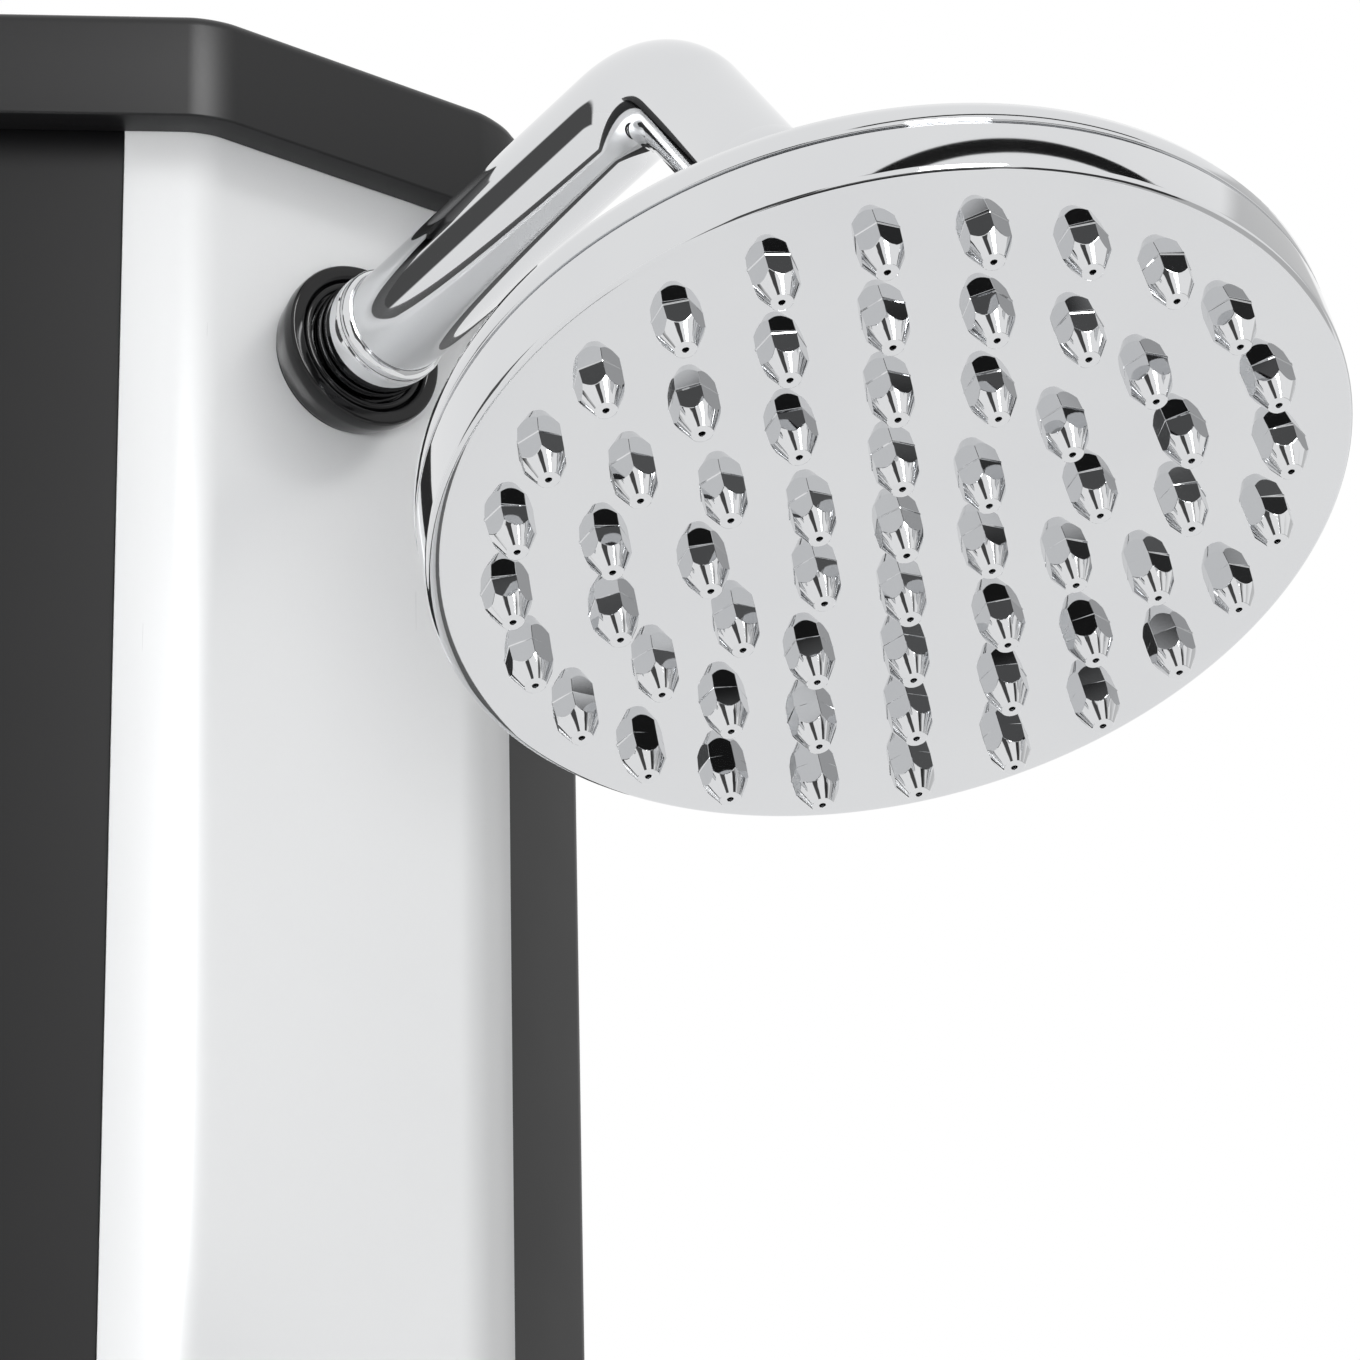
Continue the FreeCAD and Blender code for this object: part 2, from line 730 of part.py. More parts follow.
def draw_arm_path(sketch):
    """The arm's centre line in the middle plane: level, a slight rise, then the bend down."""
    rise = dim("arm_rise")
    fall = dim("arm_fall")
    small = dim("arm_rise_radius")
    large = dim("arm_bend_radius")
    out, up = arm_bend()
    start = dim("arm_rise_start")
    trim = small * tangent(rise / 2)
    cut = large * tangent((rise + fall) / 2)
    leg = dim("arm_leg") - dim("stem_length") - dim("stud_collar_length")
    points = [
        (dim("arm_tail"), as_size(0)),
        (trim - start, as_size(0)),
        (-start - trim * cosine(rise), trim * sine(rise)),
        (cut * cosine(rise) - out, up - cut * sine(rise)),
        (-out - cut * cosine(fall), up - cut * sine(fall)),
        (-out - leg * cosine(fall), up - leg * sine(fall)),
    ]
    spots = [FreeCAD.Vector(x.value, y.value, 0) for x, y in points]
    lines = []
    for number in (0, 2, 4):
        lines.append(sketch.addGeometry(Part.LineSegment(spots[number], spots[number + 1]), False))
        tie(sketch, lines[-1], 1, *points[number])
        tie(sketch, lines[-1], 2, *points[number + 1])
    normal = FreeCAD.Vector(0, 0, 1)
    low_centre = spots[1] + FreeCAD.Vector(0, small.value, 0)
    turn = math.radians(rise.value)
    high_centre = spots[3] - FreeCAD.Vector(math.sin(turn), math.cos(turn), 0) * large.value
    quarter = math.pi / 2
    arcs = [
        (Part.Circle(low_centre, normal, small.value), -quarter - turn, -quarter, small, lines[1], lines[0]),
        (Part.Circle(high_centre, normal, large.value), quarter - turn, quarter + math.radians(fall.value),
         large, lines[1], lines[2]),
    ]
    ends = [(1, 2), (2, 1)]
    for (circle, first, last, radius, before, after), (before_end, after_end) in zip(arcs, ends):
        arc = sketch.addGeometry(Part.ArcOfCircle(circle, first, last), False)
        sketch.addConstraint(Sketcher.Constraint("Coincident", arc, 1, before, before_end))
        sketch.addConstraint(Sketcher.Constraint("Coincident", arc, 2, after, after_end))
        number = sketch.addConstraint(Sketcher.Constraint("Radius", arc, radius.value))
        sketch.setExpression(f"Constraints[{number}]", radius.text)


def make_arm_tube():
    """The bent chrome tube, swept along its centre line."""
    body = new_body("arm_tube")
    path = new_sketch(body, "YZ_Plane")
    draw_arm_path(path)
    ring = new_sketch(body, "XZ_Plane", -dim("arm_tail"))
    draw_circle(ring, 0, 0, dim("arm_radius"))
    draw_circle(ring, 0, 0, dim("arm_bore"))
    doc.recompute()
    sweep = body.newObject("PartDesign::AdditivePipe", "arm_sweep")
    sweep.Profile = ring
    sweep.Spine = (path, [f"Edge{i}" for i in range(1, len(path.Shape.Edges) + 1)])
    place(body, 0, FRONT_FACE, ARM_HEIGHT)
    node(body, "arm_tube")


def make_ball_stud():
    """The ball on the arm's end, with its stem, collar and thread, in line with the arm's last leg."""
    stem = dim("stem_length")
    collar = dim("stud_collar_length")
    pieces = [
        ball("stud_ball", dim("ball_radius")),
        rod("stud_stem", dim("stem_radius"), stem),
        rod("stud_collar", dim("stud_collar_radius"), collar, z=stem),
        rod("stud_thread", dim("stud_thread_radius"), dim("stud_thread_length"), z=stem + collar),
    ]
    bore_length = dim("ball_radius") * 2 + stem + collar + dim("stud_thread_length")
    bore = rod("stud_bore", dim("stud_bore"), bore_length, z=-dim("ball_radius") * 1.5)
    stud = drilled("ball_stud", joined("stud_blank", pieces), [bore])
    y, z = ball_place()
    place(stud, 0, y, z, (FreeCAD.Vector(-1, 0, 0), 90 - dim("arm_fall")))
    node(stud, "ball_stud")


def head_piece(label, profile, domed=False):
    """A turned piece of the head, measured from the ball's centre up the head's axis."""
    y, z = ball_place()
    tilted = (FreeCAD.Vector(-1, 0, 0), dim("head_tilt"))
    return node(turned(label, profile, tilted, 0, y, z, domed), label)


def make_head():
    """The tilting head: ball seat, swivel nut, washer, back shell, gasket and spray face."""
    rim = -dim("head_drop")
    seam = rim + dim("skirt_height")
    radius = dim("head_radius")
    neck = dim("neck_radius")
    nut_bore = neck + GAP
    seat_low = -dim("seat_drop")
    seat_high = seat_low + dim("seat_height")
    seat_out = neck - GAP / 3
    head_piece("ball_seat", [
        (dim("stem_radius"), seat_low), (seat_out, seat_low), (seat_out, seat_high),
        (dim("ball_radius") + GAP, seat_high)])
    lip = dim("nut_lip_radius")
    lip_height = dim("nut_lip_height")
    throat = dim("ball_radius") + GAP * 2
    nut_low = -dim("nut_drop")
    nut_high = dim("nut_top")
    nut = dim("nut_radius")
    head_piece("swivel_nut", [
        (nut_bore, nut_low), (nut - WALL / 2, nut_low), (nut, nut_low + WALL / 2), (nut, 0),
        (nut - WALL, nut_high), (lip + GAP * 2, nut_high), (lip, lip_height), (throat, GAP),
        (throat, seat_high + GAP), (nut_bore, seat_high + GAP)])
    neck_top = seat_low - GAP
    bore = dim("neck_bore")
    washer = dim("washer_bore")
    washer_low = neck_top - dim("washer_drop")
    head_piece("flow_washer", [
        (washer, washer_low), (bore, washer_low), (bore, washer_low + WALL), (washer, washer_low + WALL)])
    lip_top = seam + dim("back_lip")
    shoulder = radius - dim("back_shoulder")
    shoulder_top = lip_top + dim("back_shoulder_drop")
    crown = shoulder_top + dim("back_rise")
    flare = dim("neck_flare")
    inside = dim("back_wall")
    wall_out = radius - dim("skirt_wall")
    back_gap = GAP / 2
    head_piece("head_back", [
        (wall_out - WALL, seam + back_gap), (radius - back_gap, seam + back_gap),
        (radius - back_gap, lip_top), (radius - dim("back_shoulder") / 3, shoulder_top - dim("back_lip") / 2),
        (shoulder, shoulder_top), (flare, crown), (neck, crown + flare - neck), (neck, neck_top),
        (bore, neck_top), (bore, crown - inside), (flare - inside, crown - inside),
        (shoulder - inside, shoulder_top - inside), (wall_out - WALL, lip_top)])
    inner = wall_out - GAP
    gasket_low = rim + dim("face_thickness")
    head_piece("head_gasket", [
        (inner - WALL, gasket_low), (inner, gasket_low), (inner, seam), (inner - WALL, seam)])
    make_spray_face(rim, seam, radius, wall_out)


def make_spray_face(rim, seam, radius, wall_out):
    """The face, a shallow domed cup whose nozzles stand in rings about one in the middle."""
    floor = rim + dim("face_thickness")
    dome = dim("face_dome")
    lowest = rim - dome
    face = head_piece("spray_face", [
        (0, lowest), (radius, rim), (radius, seam), (wall_out, seam), (wall_out, floor), (0, floor)],
        domed=True)
    doc.recompute()
    round_edges(face, dim("rim_radius"), lambda edge: abs(edge.BoundBox.ZMax - rim.value) < TOUCH)
    sphere = (radius * radius + dome * dome) / (dome * 2)
    add_nozzles(face, as_size(0), as_size(0), 1, lowest)
    for ring in range(1, NOZZLE_RINGS + 1):
        reach = dim("nozzle_pitch") * ring
        level = lowest + sphere - square_root(sphere * sphere - reach * reach)
        x = reach * cosine(dim("nozzle_phase"))
        y = reach * sine(dim("nozzle_phase"))
        add_nozzles(face, x, y, NOZZLES_IN_FIRST_RING * ring, level)


def add_nozzles(face, x, y, count, level):
    """Adds one nozzle at x, y, a hexagon with a cone below it, and repeats it round the head's axis."""
    side = dim("nozzle_side")
    root = dim("face_thickness") / 2
    collar = dim("nozzle_collar")
    angles = [dim("nozzle_phase") + corner * 360 / HEXAGON_CORNERS for corner in range(HEXAGON_CORNERS)]
    hexagon = new_sketch(face, "XY_Plane", level + root)
    draw_outline(hexagon, [(x + side * cosine(angle), y + side * sine(angle)) for angle in angles])
    prism_pad = pad(face, hexagon, root + collar, down=True)
    circle = new_sketch(face, "XY_Plane", level - collar)
    draw_circle(circle, x, y, side * cosine(180 / HEXAGON_CORNERS))
    cone_pad = pad(face, circle, dim("nozzle_height") - collar, down=True)
    bind(cone_pad, "TaperAngle", -dim("nozzle_taper"))
    doc.recompute()
    if count > 1:
        pattern = face.newObject("PartDesign::PolarPattern", "nozzle_ring")
        pattern.Originals = [prism_pad, cone_pad]
        pattern.Axis = (hexagon, ["N_Axis"])
        pattern.Angle = 360
        pattern.Occurrences = int(count)
        face.Tip = pattern
        doc.recompute()


def make_mixer():
    """The lever mixer: plate, neck and inner body that stay, spindle that turns, handle that lifts."""
    height = dim("mixer_height")
    plate = dim("mixer_plate_radius")
    body_radius = dim("mixer_body_radius")
    plate_top = GASKET + dim("mixer_plate_thickness")
    pivot = dim("mixer_pivot")
    neck = dim("mixer_neck_radius")
    cartridge = dim("cartridge_radius")
    inner = body_radius + GAP
    outer = plate - WALL
    front_piece("mixer_gasket", [(inner, 0), (outer, 0), (outer, GASKET), (inner, GASKET)], height)
    front_piece("mixer_plate", [
        (neck + GAP, GASKET), (plate, GASKET), (plate, GASKET + WALL / 2), (plate - WALL, plate_top),
        (neck + GAP, plate_top)], height)

    flange_end = SKIN + dim("mixer_flange_length")
    flange = dim("mixer_flange_radius")
    depth = dim("mixer_body_depth")
    shell = turned("mixer_shell", [
        (0, -depth), (body_radius, -depth), (body_radius, -flange_end), (flange, -flange_end),
        (flange, -SKIN), (body_radius, -SKIN), (body_radius, GASKET), (0, GASKET)],
        FRONT, 0, FRONT_FACE, height)
    port = dim("port_radius")
    reach = dim("port_length")
    hot = dim("hot_offset")
    bore = dim("pipe_bore")
    solids = [
        shell,
        rod("riser_port", port, reach * 2, 0, PIPE_PLANE, height - reach),
        rod("hot_arm", port, hot, 0, PIPE_PLANE, height, LEFT),
        rod("hot_port", port, reach, -hot, PIPE_PLANE, height),
        ball("hot_corner", port, -hot, PIPE_PLANE, height),
    ]
    cartridge_depth = dim("cartridge_depth")
    bores = [
        rod("cartridge_well", cartridge, cartridge_depth + GASKET * 2, 0, FRONT_FACE + cartridge_depth,
            height, FRONT),
        rod("riser_bore", bore, reach, 0, PIPE_PLANE, height),
        rod("cold_bore", bore, reach, 0, PIPE_PLANE, height - reach),
        rod("hot_arm_bore", bore, hot, 0, PIPE_PLANE, height, LEFT),
        rod("hot_bore", bore, reach, -hot, PIPE_PLANE, height),
    ]
    node(drilled("mixer_body", joined("mixer_blank", solids), bores), "mixer_body")

    well_radius = dim("mixer_well_radius")
    dome = dim("mixer_dome_radius")
    dome_ball = ball("neck_ball", dome, z=pivot)
    neck_rod = rod("neck_rod", neck, pivot - GASKET, z=GASKET)
    trim_height = dome - dim("mixer_dome_cut")
    top_trim = rod("neck_trim", dome, dome, z=pivot + trim_height)
    mouth = doc.addObject("Part::Cone", "neck_mouth")
    bind(mouth, "Radius1", well_radius)
    bind(mouth, "Radius2", well_radius + dim("mixer_mouth_flare"))
    bind(mouth, "Height", trim_height + GAP)
    place(mouth, z=pivot)
    well_depth = dim("mixer_well_depth")
    middle_well = rod("neck_well", well_radius, well_depth, z=pivot - well_depth)
    shaft_hole = rod("neck_shaft_hole", dim("spindle_radius") + GAP, pivot, z=0)
    neck_piece = drilled("mixer_neck", joined("neck_blank", [neck_rod, dome_ball]),
                         [top_trim, mouth, middle_well, shaft_hole])
    node(place(neck_piece, 0, FRONT_FACE, height, FRONT), "mixer_neck")

    spindle = dim("spindle_radius")
    spindle_bore = spindle + GAP
    front_piece("mixer_cartridge", [
        (spindle_bore, -cartridge_depth), (cartridge, -cartridge_depth), (cartridge, GASKET),
        (spindle_bore, GASKET)], height)
    spindle_depth = dim("spindle_depth")
    shaft = rod("spindle_shaft", spindle, pivot + spindle + spindle_depth, z=-spindle_depth)
    pin_span = (dim("lug_inner") + dim("lug_thickness")) * 2
    pin_hole = rod("spindle_pin_hole", dim("pin_radius"), pin_span, x=-pin_span / 2, z=pivot, facing=RIGHT)
    spindle_piece = drilled("mixer_spindle", shaft, [pin_hole])
    node(place(spindle_piece, 0, FRONT_FACE, height, FRONT), "mixer_spindle")
    pin = rod("mixer_pin", dim("pin_radius"), pin_span, -pin_span / 2, FRONT_FACE - pivot, height, RIGHT)
    node(pin, "mixer_pin")
    make_handle(pivot, dome + dim("handle_gap"), height)


def make_handle(pivot, cavity, height):
    """The handle: a domed cap over the neck's ball, two lugs on the pin, and the lever rod."""
    radius = dim("handle_radius")
    skirt = dim("handle_skirt")
    wall = radius - cavity
    dome = ball("handle_dome", radius)
    hollow = ball("handle_hollow", cavity)
    open_end = rod("handle_trim", radius + WALL, radius, z=-skirt - radius)
    shell = drilled("handle_shell", dome, [hollow, open_end])
    lugs = []
    lug_height = cavity + dim("lug_drop") - wall / 2
    lug = dim("lug_thickness")
    for side in (-1, 1):
        middle = (dim("lug_inner") + lug / 2) * side
        lugs.append(block("handle_lug", lug, dim("lug_width"), lug_height, middle, 0, -dim("lug_drop")))
    inside = ball("handle_inside", radius - wall / 2)
    lug_group = joined("handle_lugs", lugs)
    lug_fit = doc.addObject("Part::Common", "lug_fit")
    lug_fit.Base = lug_group
    lug_fit.Tool = inside
    pin_span = (dim("lug_inner") + lug) * 2 + GAP
    pin_hole = rod("handle_pin_hole", dim("pin_radius") + dim("pin_clearance"), pin_span, x=-pin_span / 2,
                   facing=RIGHT)
    angle = dim("lever_angle")
    lean = (FreeCAD.Vector(1, 0, 0), angle)
    lever = dim("lever_radius")
    lever_stud = dim("lever_stud_radius")
    lever_hole = rod("lever_hole", lever_stud, radius * 2, facing=lean)
    rod_seat = radius - dim("lever_seat_depth")
    lever_flat = rod("lever_flat", lever + GAP, radius, 0, -rod_seat * sine(angle),
                     rod_seat * cosine(angle), lean)
    handle_blank = joined("handle_blank", [shell, lug_fit])
    handle = drilled("mixer_handle", handle_blank, [pin_hole, lever_hole, lever_flat])
    pivot_y = FRONT_FACE - pivot
    node(place(handle, 0, pivot_y, height, FRONT), "mixer_handle")

    lever_facing = (FreeCAD.Vector(1, 0, 0), 90 + angle)
    stud_start = cavity + GAP
    lever_end = rod_seat + dim("lever_length")
    node(turned("lever_rod", [
        (0, stud_start), (lever_stud, stud_start), (lever_stud, rod_seat), (lever, rod_seat),
        (dim("lever_end_radius"), lever_end), (0, lever_end)], lever_facing, 0, pivot_y, height), "lever_rod")
    tip = dim("lever_tip_radius")
    tip_end = lever_end + dim("lever_tip_length")
    bevel = dim("lever_tip_bevel")
    node(turned("lever_tip", [
        (0, lever_end), (tip - bevel / 2, lever_end), (tip, lever_end + bevel), (tip, tip_end - bevel),
        (tip - bevel, tip_end), (0, tip_end)], lever_facing, 0, pivot_y, height), "lever_tip")


def pipe(label, x, low, high):
    tube = sleeve(label, dim("pipe_radius"), dim("pipe_bore"), 0, high - low, x=x, y=PIPE_PLANE, z=low)
    node(tube, label)


def make_pipes():
    """The three upright pipes inside the tank."""
    mixer = dim("mixer_height")
    reach = dim("port_length")
    pipe("riser_pipe", as_size(0), mixer + reach, ARM_HEIGHT - reach / 2)
    intake = TANK_TOP - dim("collar_depth") - dim("hot_intake_gap")
    pipe("hot_pipe", -dim("hot_offset"), mixer + reach, intake)
    pipe("cold_pipe", as_size(0), dim("inlet_height") + dim("tee_side") / 2, mixer - reach)


def tee_block(name, height):
    """The blank of a square tee on the cold pipe's line."""
    side = dim("tee_side")
    return block(name, side, side, side, 0, PIPE_PLANE, height - side / 2)


def make_foot_tap():
    """The foot tap: flange, body with a downward spout, and a quarter-turn knob."""
    height = dim("foot_height")
    flange = dim("foot_flange_radius")
    tail = dim("foot_tail_radius")
    body_radius = dim("foot_body_radius")
    flange_top = GASKET + dim("foot_flange_thickness")
    front_piece("foot_gasket", [
        (tail + GAP, 0), (flange - WALL, 0), (flange - WALL, GASKET), (tail + GAP, GASKET)], height)
    front_piece("foot_flange", [
        (tail + GAP, GASKET), (flange, GASKET), (flange, GASKET + WALL / 3), (flange - WALL, flange_top),
        (tail + GAP, flange_top)], height)
    side = dim("tee_side")
    tail_end = -(dim("pipe_setback") - side / 2)
    end = flange_top + dim("foot_body_length")
    shell = turned("foot_shell", [
        (0, tail_end), (tail, tail_end), (tail, flange_top), (body_radius, flange_top), (body_radius, end),
        (0, end)], FRONT, 0, FRONT_FACE, height)
    spout_y = FRONT_FACE - flange_top - dim("foot_spout_reach")
    drop = dim("foot_spout_drop")
    spout = rod("foot_spout_arm", dim("foot_spout_radius"), drop, 0, spout_y, height - drop)
    spindle = dim("foot_spindle_radius")
    depth = dim("foot_spindle_depth")
    bore = dim("pipe_bore")
    spindle_bore = spindle + dim("pin_clearance")
    tail_length = flange_top + dim("foot_spout_reach") - tail_end
    bores = [
        rod("foot_spindle_hole", spindle_bore, depth + GAP, 0, FRONT_FACE - end, height, BACK),
        rod("foot_spout_bore", bore, drop, 0, spout_y, height - drop),
        rod("foot_tail_bore", bore, tail_length, 0, FRONT_FACE - tail_end, height, FRONT),
    ]
    node(drilled("foot_body", joined("foot_blank", [shell, spout]), bores), "foot_body")

    through = rod("foot_tee_bore", dim("pipe_radius"), side, 0, PIPE_PLANE, height - side / 2)
    across = rod("foot_tee_across", bore, side / 2, 0, PIPE_PLANE, height, FRONT)
    node(drilled("foot_tee", tee_block("foot_tee_blank", height), [through, across]), "foot_tee")

    aerator = dim("aerator_radius")
    length = dim("aerator_length")
    node(turned("foot_spout", [
        (bore, -length), (aerator - WALL / 3, -length), (aerator, -length + WALL / 3), (aerator, 0),
        (bore, 0)], UPRIGHT, 0, spout_y, height - drop), "foot_spout")

    knob_start = end + dim("knob_gap")
    knob_end = knob_start + dim("knob_length")
    shaft = rod("foot_spindle", spindle, depth + dim("knob_gap"), 0, FRONT_FACE - knob_start, height, BACK)
    node(shaft, "foot_spindle")
    knob = dim("knob_radius")
    cap = turned("knob_cap", [
        (0, knob_start), (knob, knob_start), (knob, knob_end - WALL), (knob - WALL, knob_end), (0, knob_end)],
        FRONT, 0, FRONT_FACE, height)
    wing = dim("knob_wing_length")
    wing_width = dim("knob_wing_width")
    bar = block("knob_wing", wing, dim("knob_wing_depth"), wing_width, wing / 2,
                FRONT_FACE - knob_start - dim("knob_length") / 2, height - wing_width / 2)
    node(joined("foot_knob", [cap, bar]), "foot_knob")


def back_piece(label, profile, height):
    """A turned piece on the back, measured outwards from the tank's face."""
    return node(turned(label, profile, BACK, 0, BACK_FACE, height), label)


def make_inlet():
    """The hose inlet on the back with its tail across the tank, and the drain plug below it."""
    height = dim("inlet_height")
    tail = dim("inlet_tail_radius")
    flange = dim("inlet_flange_radius")
    bore = dim("inlet_bore")
    flange_top = GASKET + dim("inlet_flange_length")
    tee_face = BACK_FACE - PIPE_PLANE - dim("tee_side") / 2
    back_piece("inlet_gasket", [
        (tail + GAP, 0), (flange - GAP, 0), (flange - GAP, GASKET), (tail + GAP, GASKET)], height)
    back_piece("inlet_body", [
        (bore, -tee_face), (tail, -tee_face), (tail, GASKET), (flange, GASKET), (flange, flange_top),
        (bore, flange_top)], height)
    nut = dim("backnut_radius")
    nut_end = WALL + dim("backnut_length")
    back_piece("inlet_backnut", [(tail, -nut_end), (nut, -nut_end), (nut, -WALL), (tail, -WALL)], height)
    root = dim("plug_root_radius")
    root_end = flange_top + dim("plug_root_length")
    neck = dim("plug_neck_radius")
    nose = dim("plug_nose_radius")
    end = flange_top + dim("plug_length")
    neck_drop = nose - neck
    groove = root_end + neck_drop * 3
    band = groove + neck_drop * 4
    back_piece("hose_plug", [
        (bore, flange_top), (root, flange_top), (root, root_end), (nose, root_end),
        (nose, groove - neck_drop), (neck, groove), (neck, band - neck_drop), (nose, band),
        (nose, band + dim("plug_band")), (nose - neck_drop, end), (bore, end)], height)
    pipe_bore = dim("pipe_bore")
    half = dim("tee_side") / 2
    up = rod("cold_tee_up", pipe_bore, half, 0, PIPE_PLANE, height)
    across = rod("cold_tee_across", pipe_bore, half, 0, PIPE_PLANE, height, BACK)
    to_tank = rod("cold_tee_side", pipe_bore / 2, half, 0, PIPE_PLANE, height, RIGHT)
    node(drilled("cold_tee", tee_block("cold_tee_blank", height), [up, across, to_tank]), "cold_tee")

    drain = dim("drain_height")
    head = dim("drain_head_radius")
    thread = dim("drain_thread_radius")
    head_end = GASKET + dim("drain_head_length")
    back_piece("drain_gasket", [
        (thread + GAP, 0), (head - GAP, 0), (head - GAP, GASKET), (thread + GAP, GASKET)], drain)
    thread_end = -dim("drain_thread_length")
    back_piece("drain_plug", [
        (0, thread_end), (thread, thread_end), (thread, GASKET), (head, GASKET), (head, head_end - WALL / 2),
        (head - WALL / 2, head_end), (0, head_end)], drain)


make_foot()
make_tank()
make_front()
make_cap()
make_arm_mount()
make_arm_tube()
make_ball_stud()
make_head()
make_mixer()
make_pipes()
make_foot_tap()
make_inlet()
doc.recompute()

for item in doc.Objects:
    if "Invalid" in item.State or "Error" in item.State:
        raise ValueError(f"{item.Label} failed: {item.State}")
for piece in NODES:
    if piece.Shape.isNull() or not piece.Shape.isValid():
        raise ValueError(f"{piece.Label} has no valid shape")
os.makedirs("parts", exist_ok=True)
for piece in NODES:
    piece.Shape.exportStep(f"parts/{piece.Label}.step")
print(len(NODES), "pieces")
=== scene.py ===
"""Dresses a free-standing solar shower, framed close on its arm and its spray head."""
import json
import logging
import math
from dataclasses import dataclass
from enum import Enum
from typing import Callable, Mapping, Sequence

import bpy
from mathutils import Matrix, Vector


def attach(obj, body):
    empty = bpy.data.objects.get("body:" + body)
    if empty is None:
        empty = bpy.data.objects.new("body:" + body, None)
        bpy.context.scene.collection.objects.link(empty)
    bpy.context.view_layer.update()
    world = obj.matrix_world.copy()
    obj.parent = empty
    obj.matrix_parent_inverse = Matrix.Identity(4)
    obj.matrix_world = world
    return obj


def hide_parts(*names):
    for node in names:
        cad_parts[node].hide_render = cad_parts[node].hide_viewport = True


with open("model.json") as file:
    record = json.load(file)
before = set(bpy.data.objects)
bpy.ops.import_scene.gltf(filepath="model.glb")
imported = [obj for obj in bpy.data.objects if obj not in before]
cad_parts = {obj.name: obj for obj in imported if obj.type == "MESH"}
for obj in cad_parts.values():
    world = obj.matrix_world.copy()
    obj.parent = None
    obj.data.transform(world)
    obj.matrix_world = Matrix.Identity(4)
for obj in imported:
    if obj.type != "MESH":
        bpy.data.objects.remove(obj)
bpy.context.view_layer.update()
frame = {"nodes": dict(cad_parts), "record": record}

MM = 0.001
MERGE = 0.001 * MM
# Places closer than this, in millimetres, count as one
NEAR = 0.05
# A face counts as upright while its normal's Z is smaller than the first, and as level past the second
UPRIGHT = 0.1
LEVEL = 0.9
LOG = logging.getLogger("solar_shower")

Piece = bpy.types.Object
Triple = tuple[float, float, float]
Profile = Sequence[tuple[float, float]]
Test = Callable[[Vector, Vector], bool]

# Numbers of the Mix node's colour sockets, whose names its other types share
MIX_FIRST = 6
MIX_SECOND = 7
MIX_RESULT = 2


def linear(colour: str) -> tuple[float, float, float, float]:
    """Turns an sRGB hex colour into linear light.

    Args:
        colour: six hex digits.

    Returns:
        Red, green, blue and alpha.
    """
    channels = [int(colour[start:start + 2], 16) / 255 for start in (0, 2, 4)]
    light = [c / 12.92 if c <= 0.04045 else ((c + 0.055) / 1.055) ** 2.4 for c in channels]
    return light[0], light[1], light[2], 1.0


def add_node(tree: bpy.types.NodeTree, kind: str, settings: Mapping | None = None,
             links: Mapping | None = None) -> bpy.types.Node:
    """Adds one shader node with its settings and links.

    Args:
        tree: the material's or the world's node tree.
        kind: the node's type, without its ShaderNode prefix.
        settings: values by input name or number, or by property name.
        links: output sockets by input name or number.

    Returns:
        The new node.
    """
    node = tree.nodes.new("ShaderNode" + kind)
    for name, value in (settings or {}).items():
        if isinstance(name, int) or name in node.inputs:
            node.inputs[name].default_value = value
        else:
            setattr(node, name, value)
    for name, socket in (links or {}).items():
        tree.links.new(socket, node.inputs[name])
    return node


def per_metre(size: float) -> float:
    """Returns a texture scale whose features are about size millimetres wide."""
    return 1 / (size * MM)


@dataclass(frozen=True)
class Finish:
    """A surface finish that becomes one node material, shared by the pieces that have it."""

    name: str
    colour: str
    shade: str
    roughness: tuple[float, float]
    metallic: float = 0.0
    ior: float = 1.5
    mottle: float = 20.0
    grain: Triple = (0.6, 0.6, 0.6)
    relief: float = 0.0
    brushed: float = 0.0

    def material(self) -> bpy.types.Material:
        """Returns the finish's material, made at its first use."""
        made = bpy.data.materials.get(self.name)
        if made is None:
            made = bpy.data.materials.new(self.name)
            made.use_nodes = True
            self.wire(made.node_tree)
        return made

    def wire(self, tree: bpy.types.NodeTree) -> None:
        """Wires soft colour variation, uneven gloss and a fine relief into the shader.

        Args:
            tree: the material's node tree.
        """
        shader = tree.nodes["Principled BSDF"]
        shader.inputs["Metallic"].default_value = self.metallic
        shader.inputs["IOR"].default_value = self.ior
        shader.inputs["Anisotropic"].default_value = self.brushed
        place = add_node(tree, "TexCoord").outputs["Object"]
        cloud = add_node(tree, "TexNoise", {"Scale": per_metre(self.mottle), "Detail": 3.0},
                         {"Vector": place})
        shades = {MIX_FIRST: linear(self.shade), MIX_SECOND: linear(self.colour)}
        tone = add_node(tree, "Mix", {"data_type": "RGBA"} | shades, {0: cloud.outputs[0]})
        tree.links.new(tone.outputs[MIX_RESULT], shader.inputs["Base Color"])
        stretch = tuple(per_metre(width) for width in self.grain)
        grain_place = add_node(tree, "Mapping", {"Scale": stretch}, {"Vector": place})
        grain = add_node(tree, "TexNoise", {"Scale": 1.0, "Detail": 2.0}, {"Vector": grain_place.outputs[0]})
        gloss = add_node(tree, "MapRange", {"To Min": self.roughness[0], "To Max": self.roughness[1]},
                         {"Value": grain.outputs[0]})
        tree.links.new(gloss.outputs[0], shader.inputs["Roughness"])
        if self.relief:
            bump = add_node(tree, "Bump", {"Strength": 1.0, "Distance": self.relief * MM},
                            {"Height": grain.outputs[0]})
            tree.links.new(bump.outputs[0], shader.inputs["Normal"])


# Chromium over nickel on moulded plastic and brass: a grey mirror, with a faint waviness from the plating
CHROME = Finish("chromium_plate", "dcddde", "d6d7d9", (0.02, 0.05), metallic=1.0, mottle=30.0,
                grain=(16.0, 16.0, 16.0), relief=0.006)
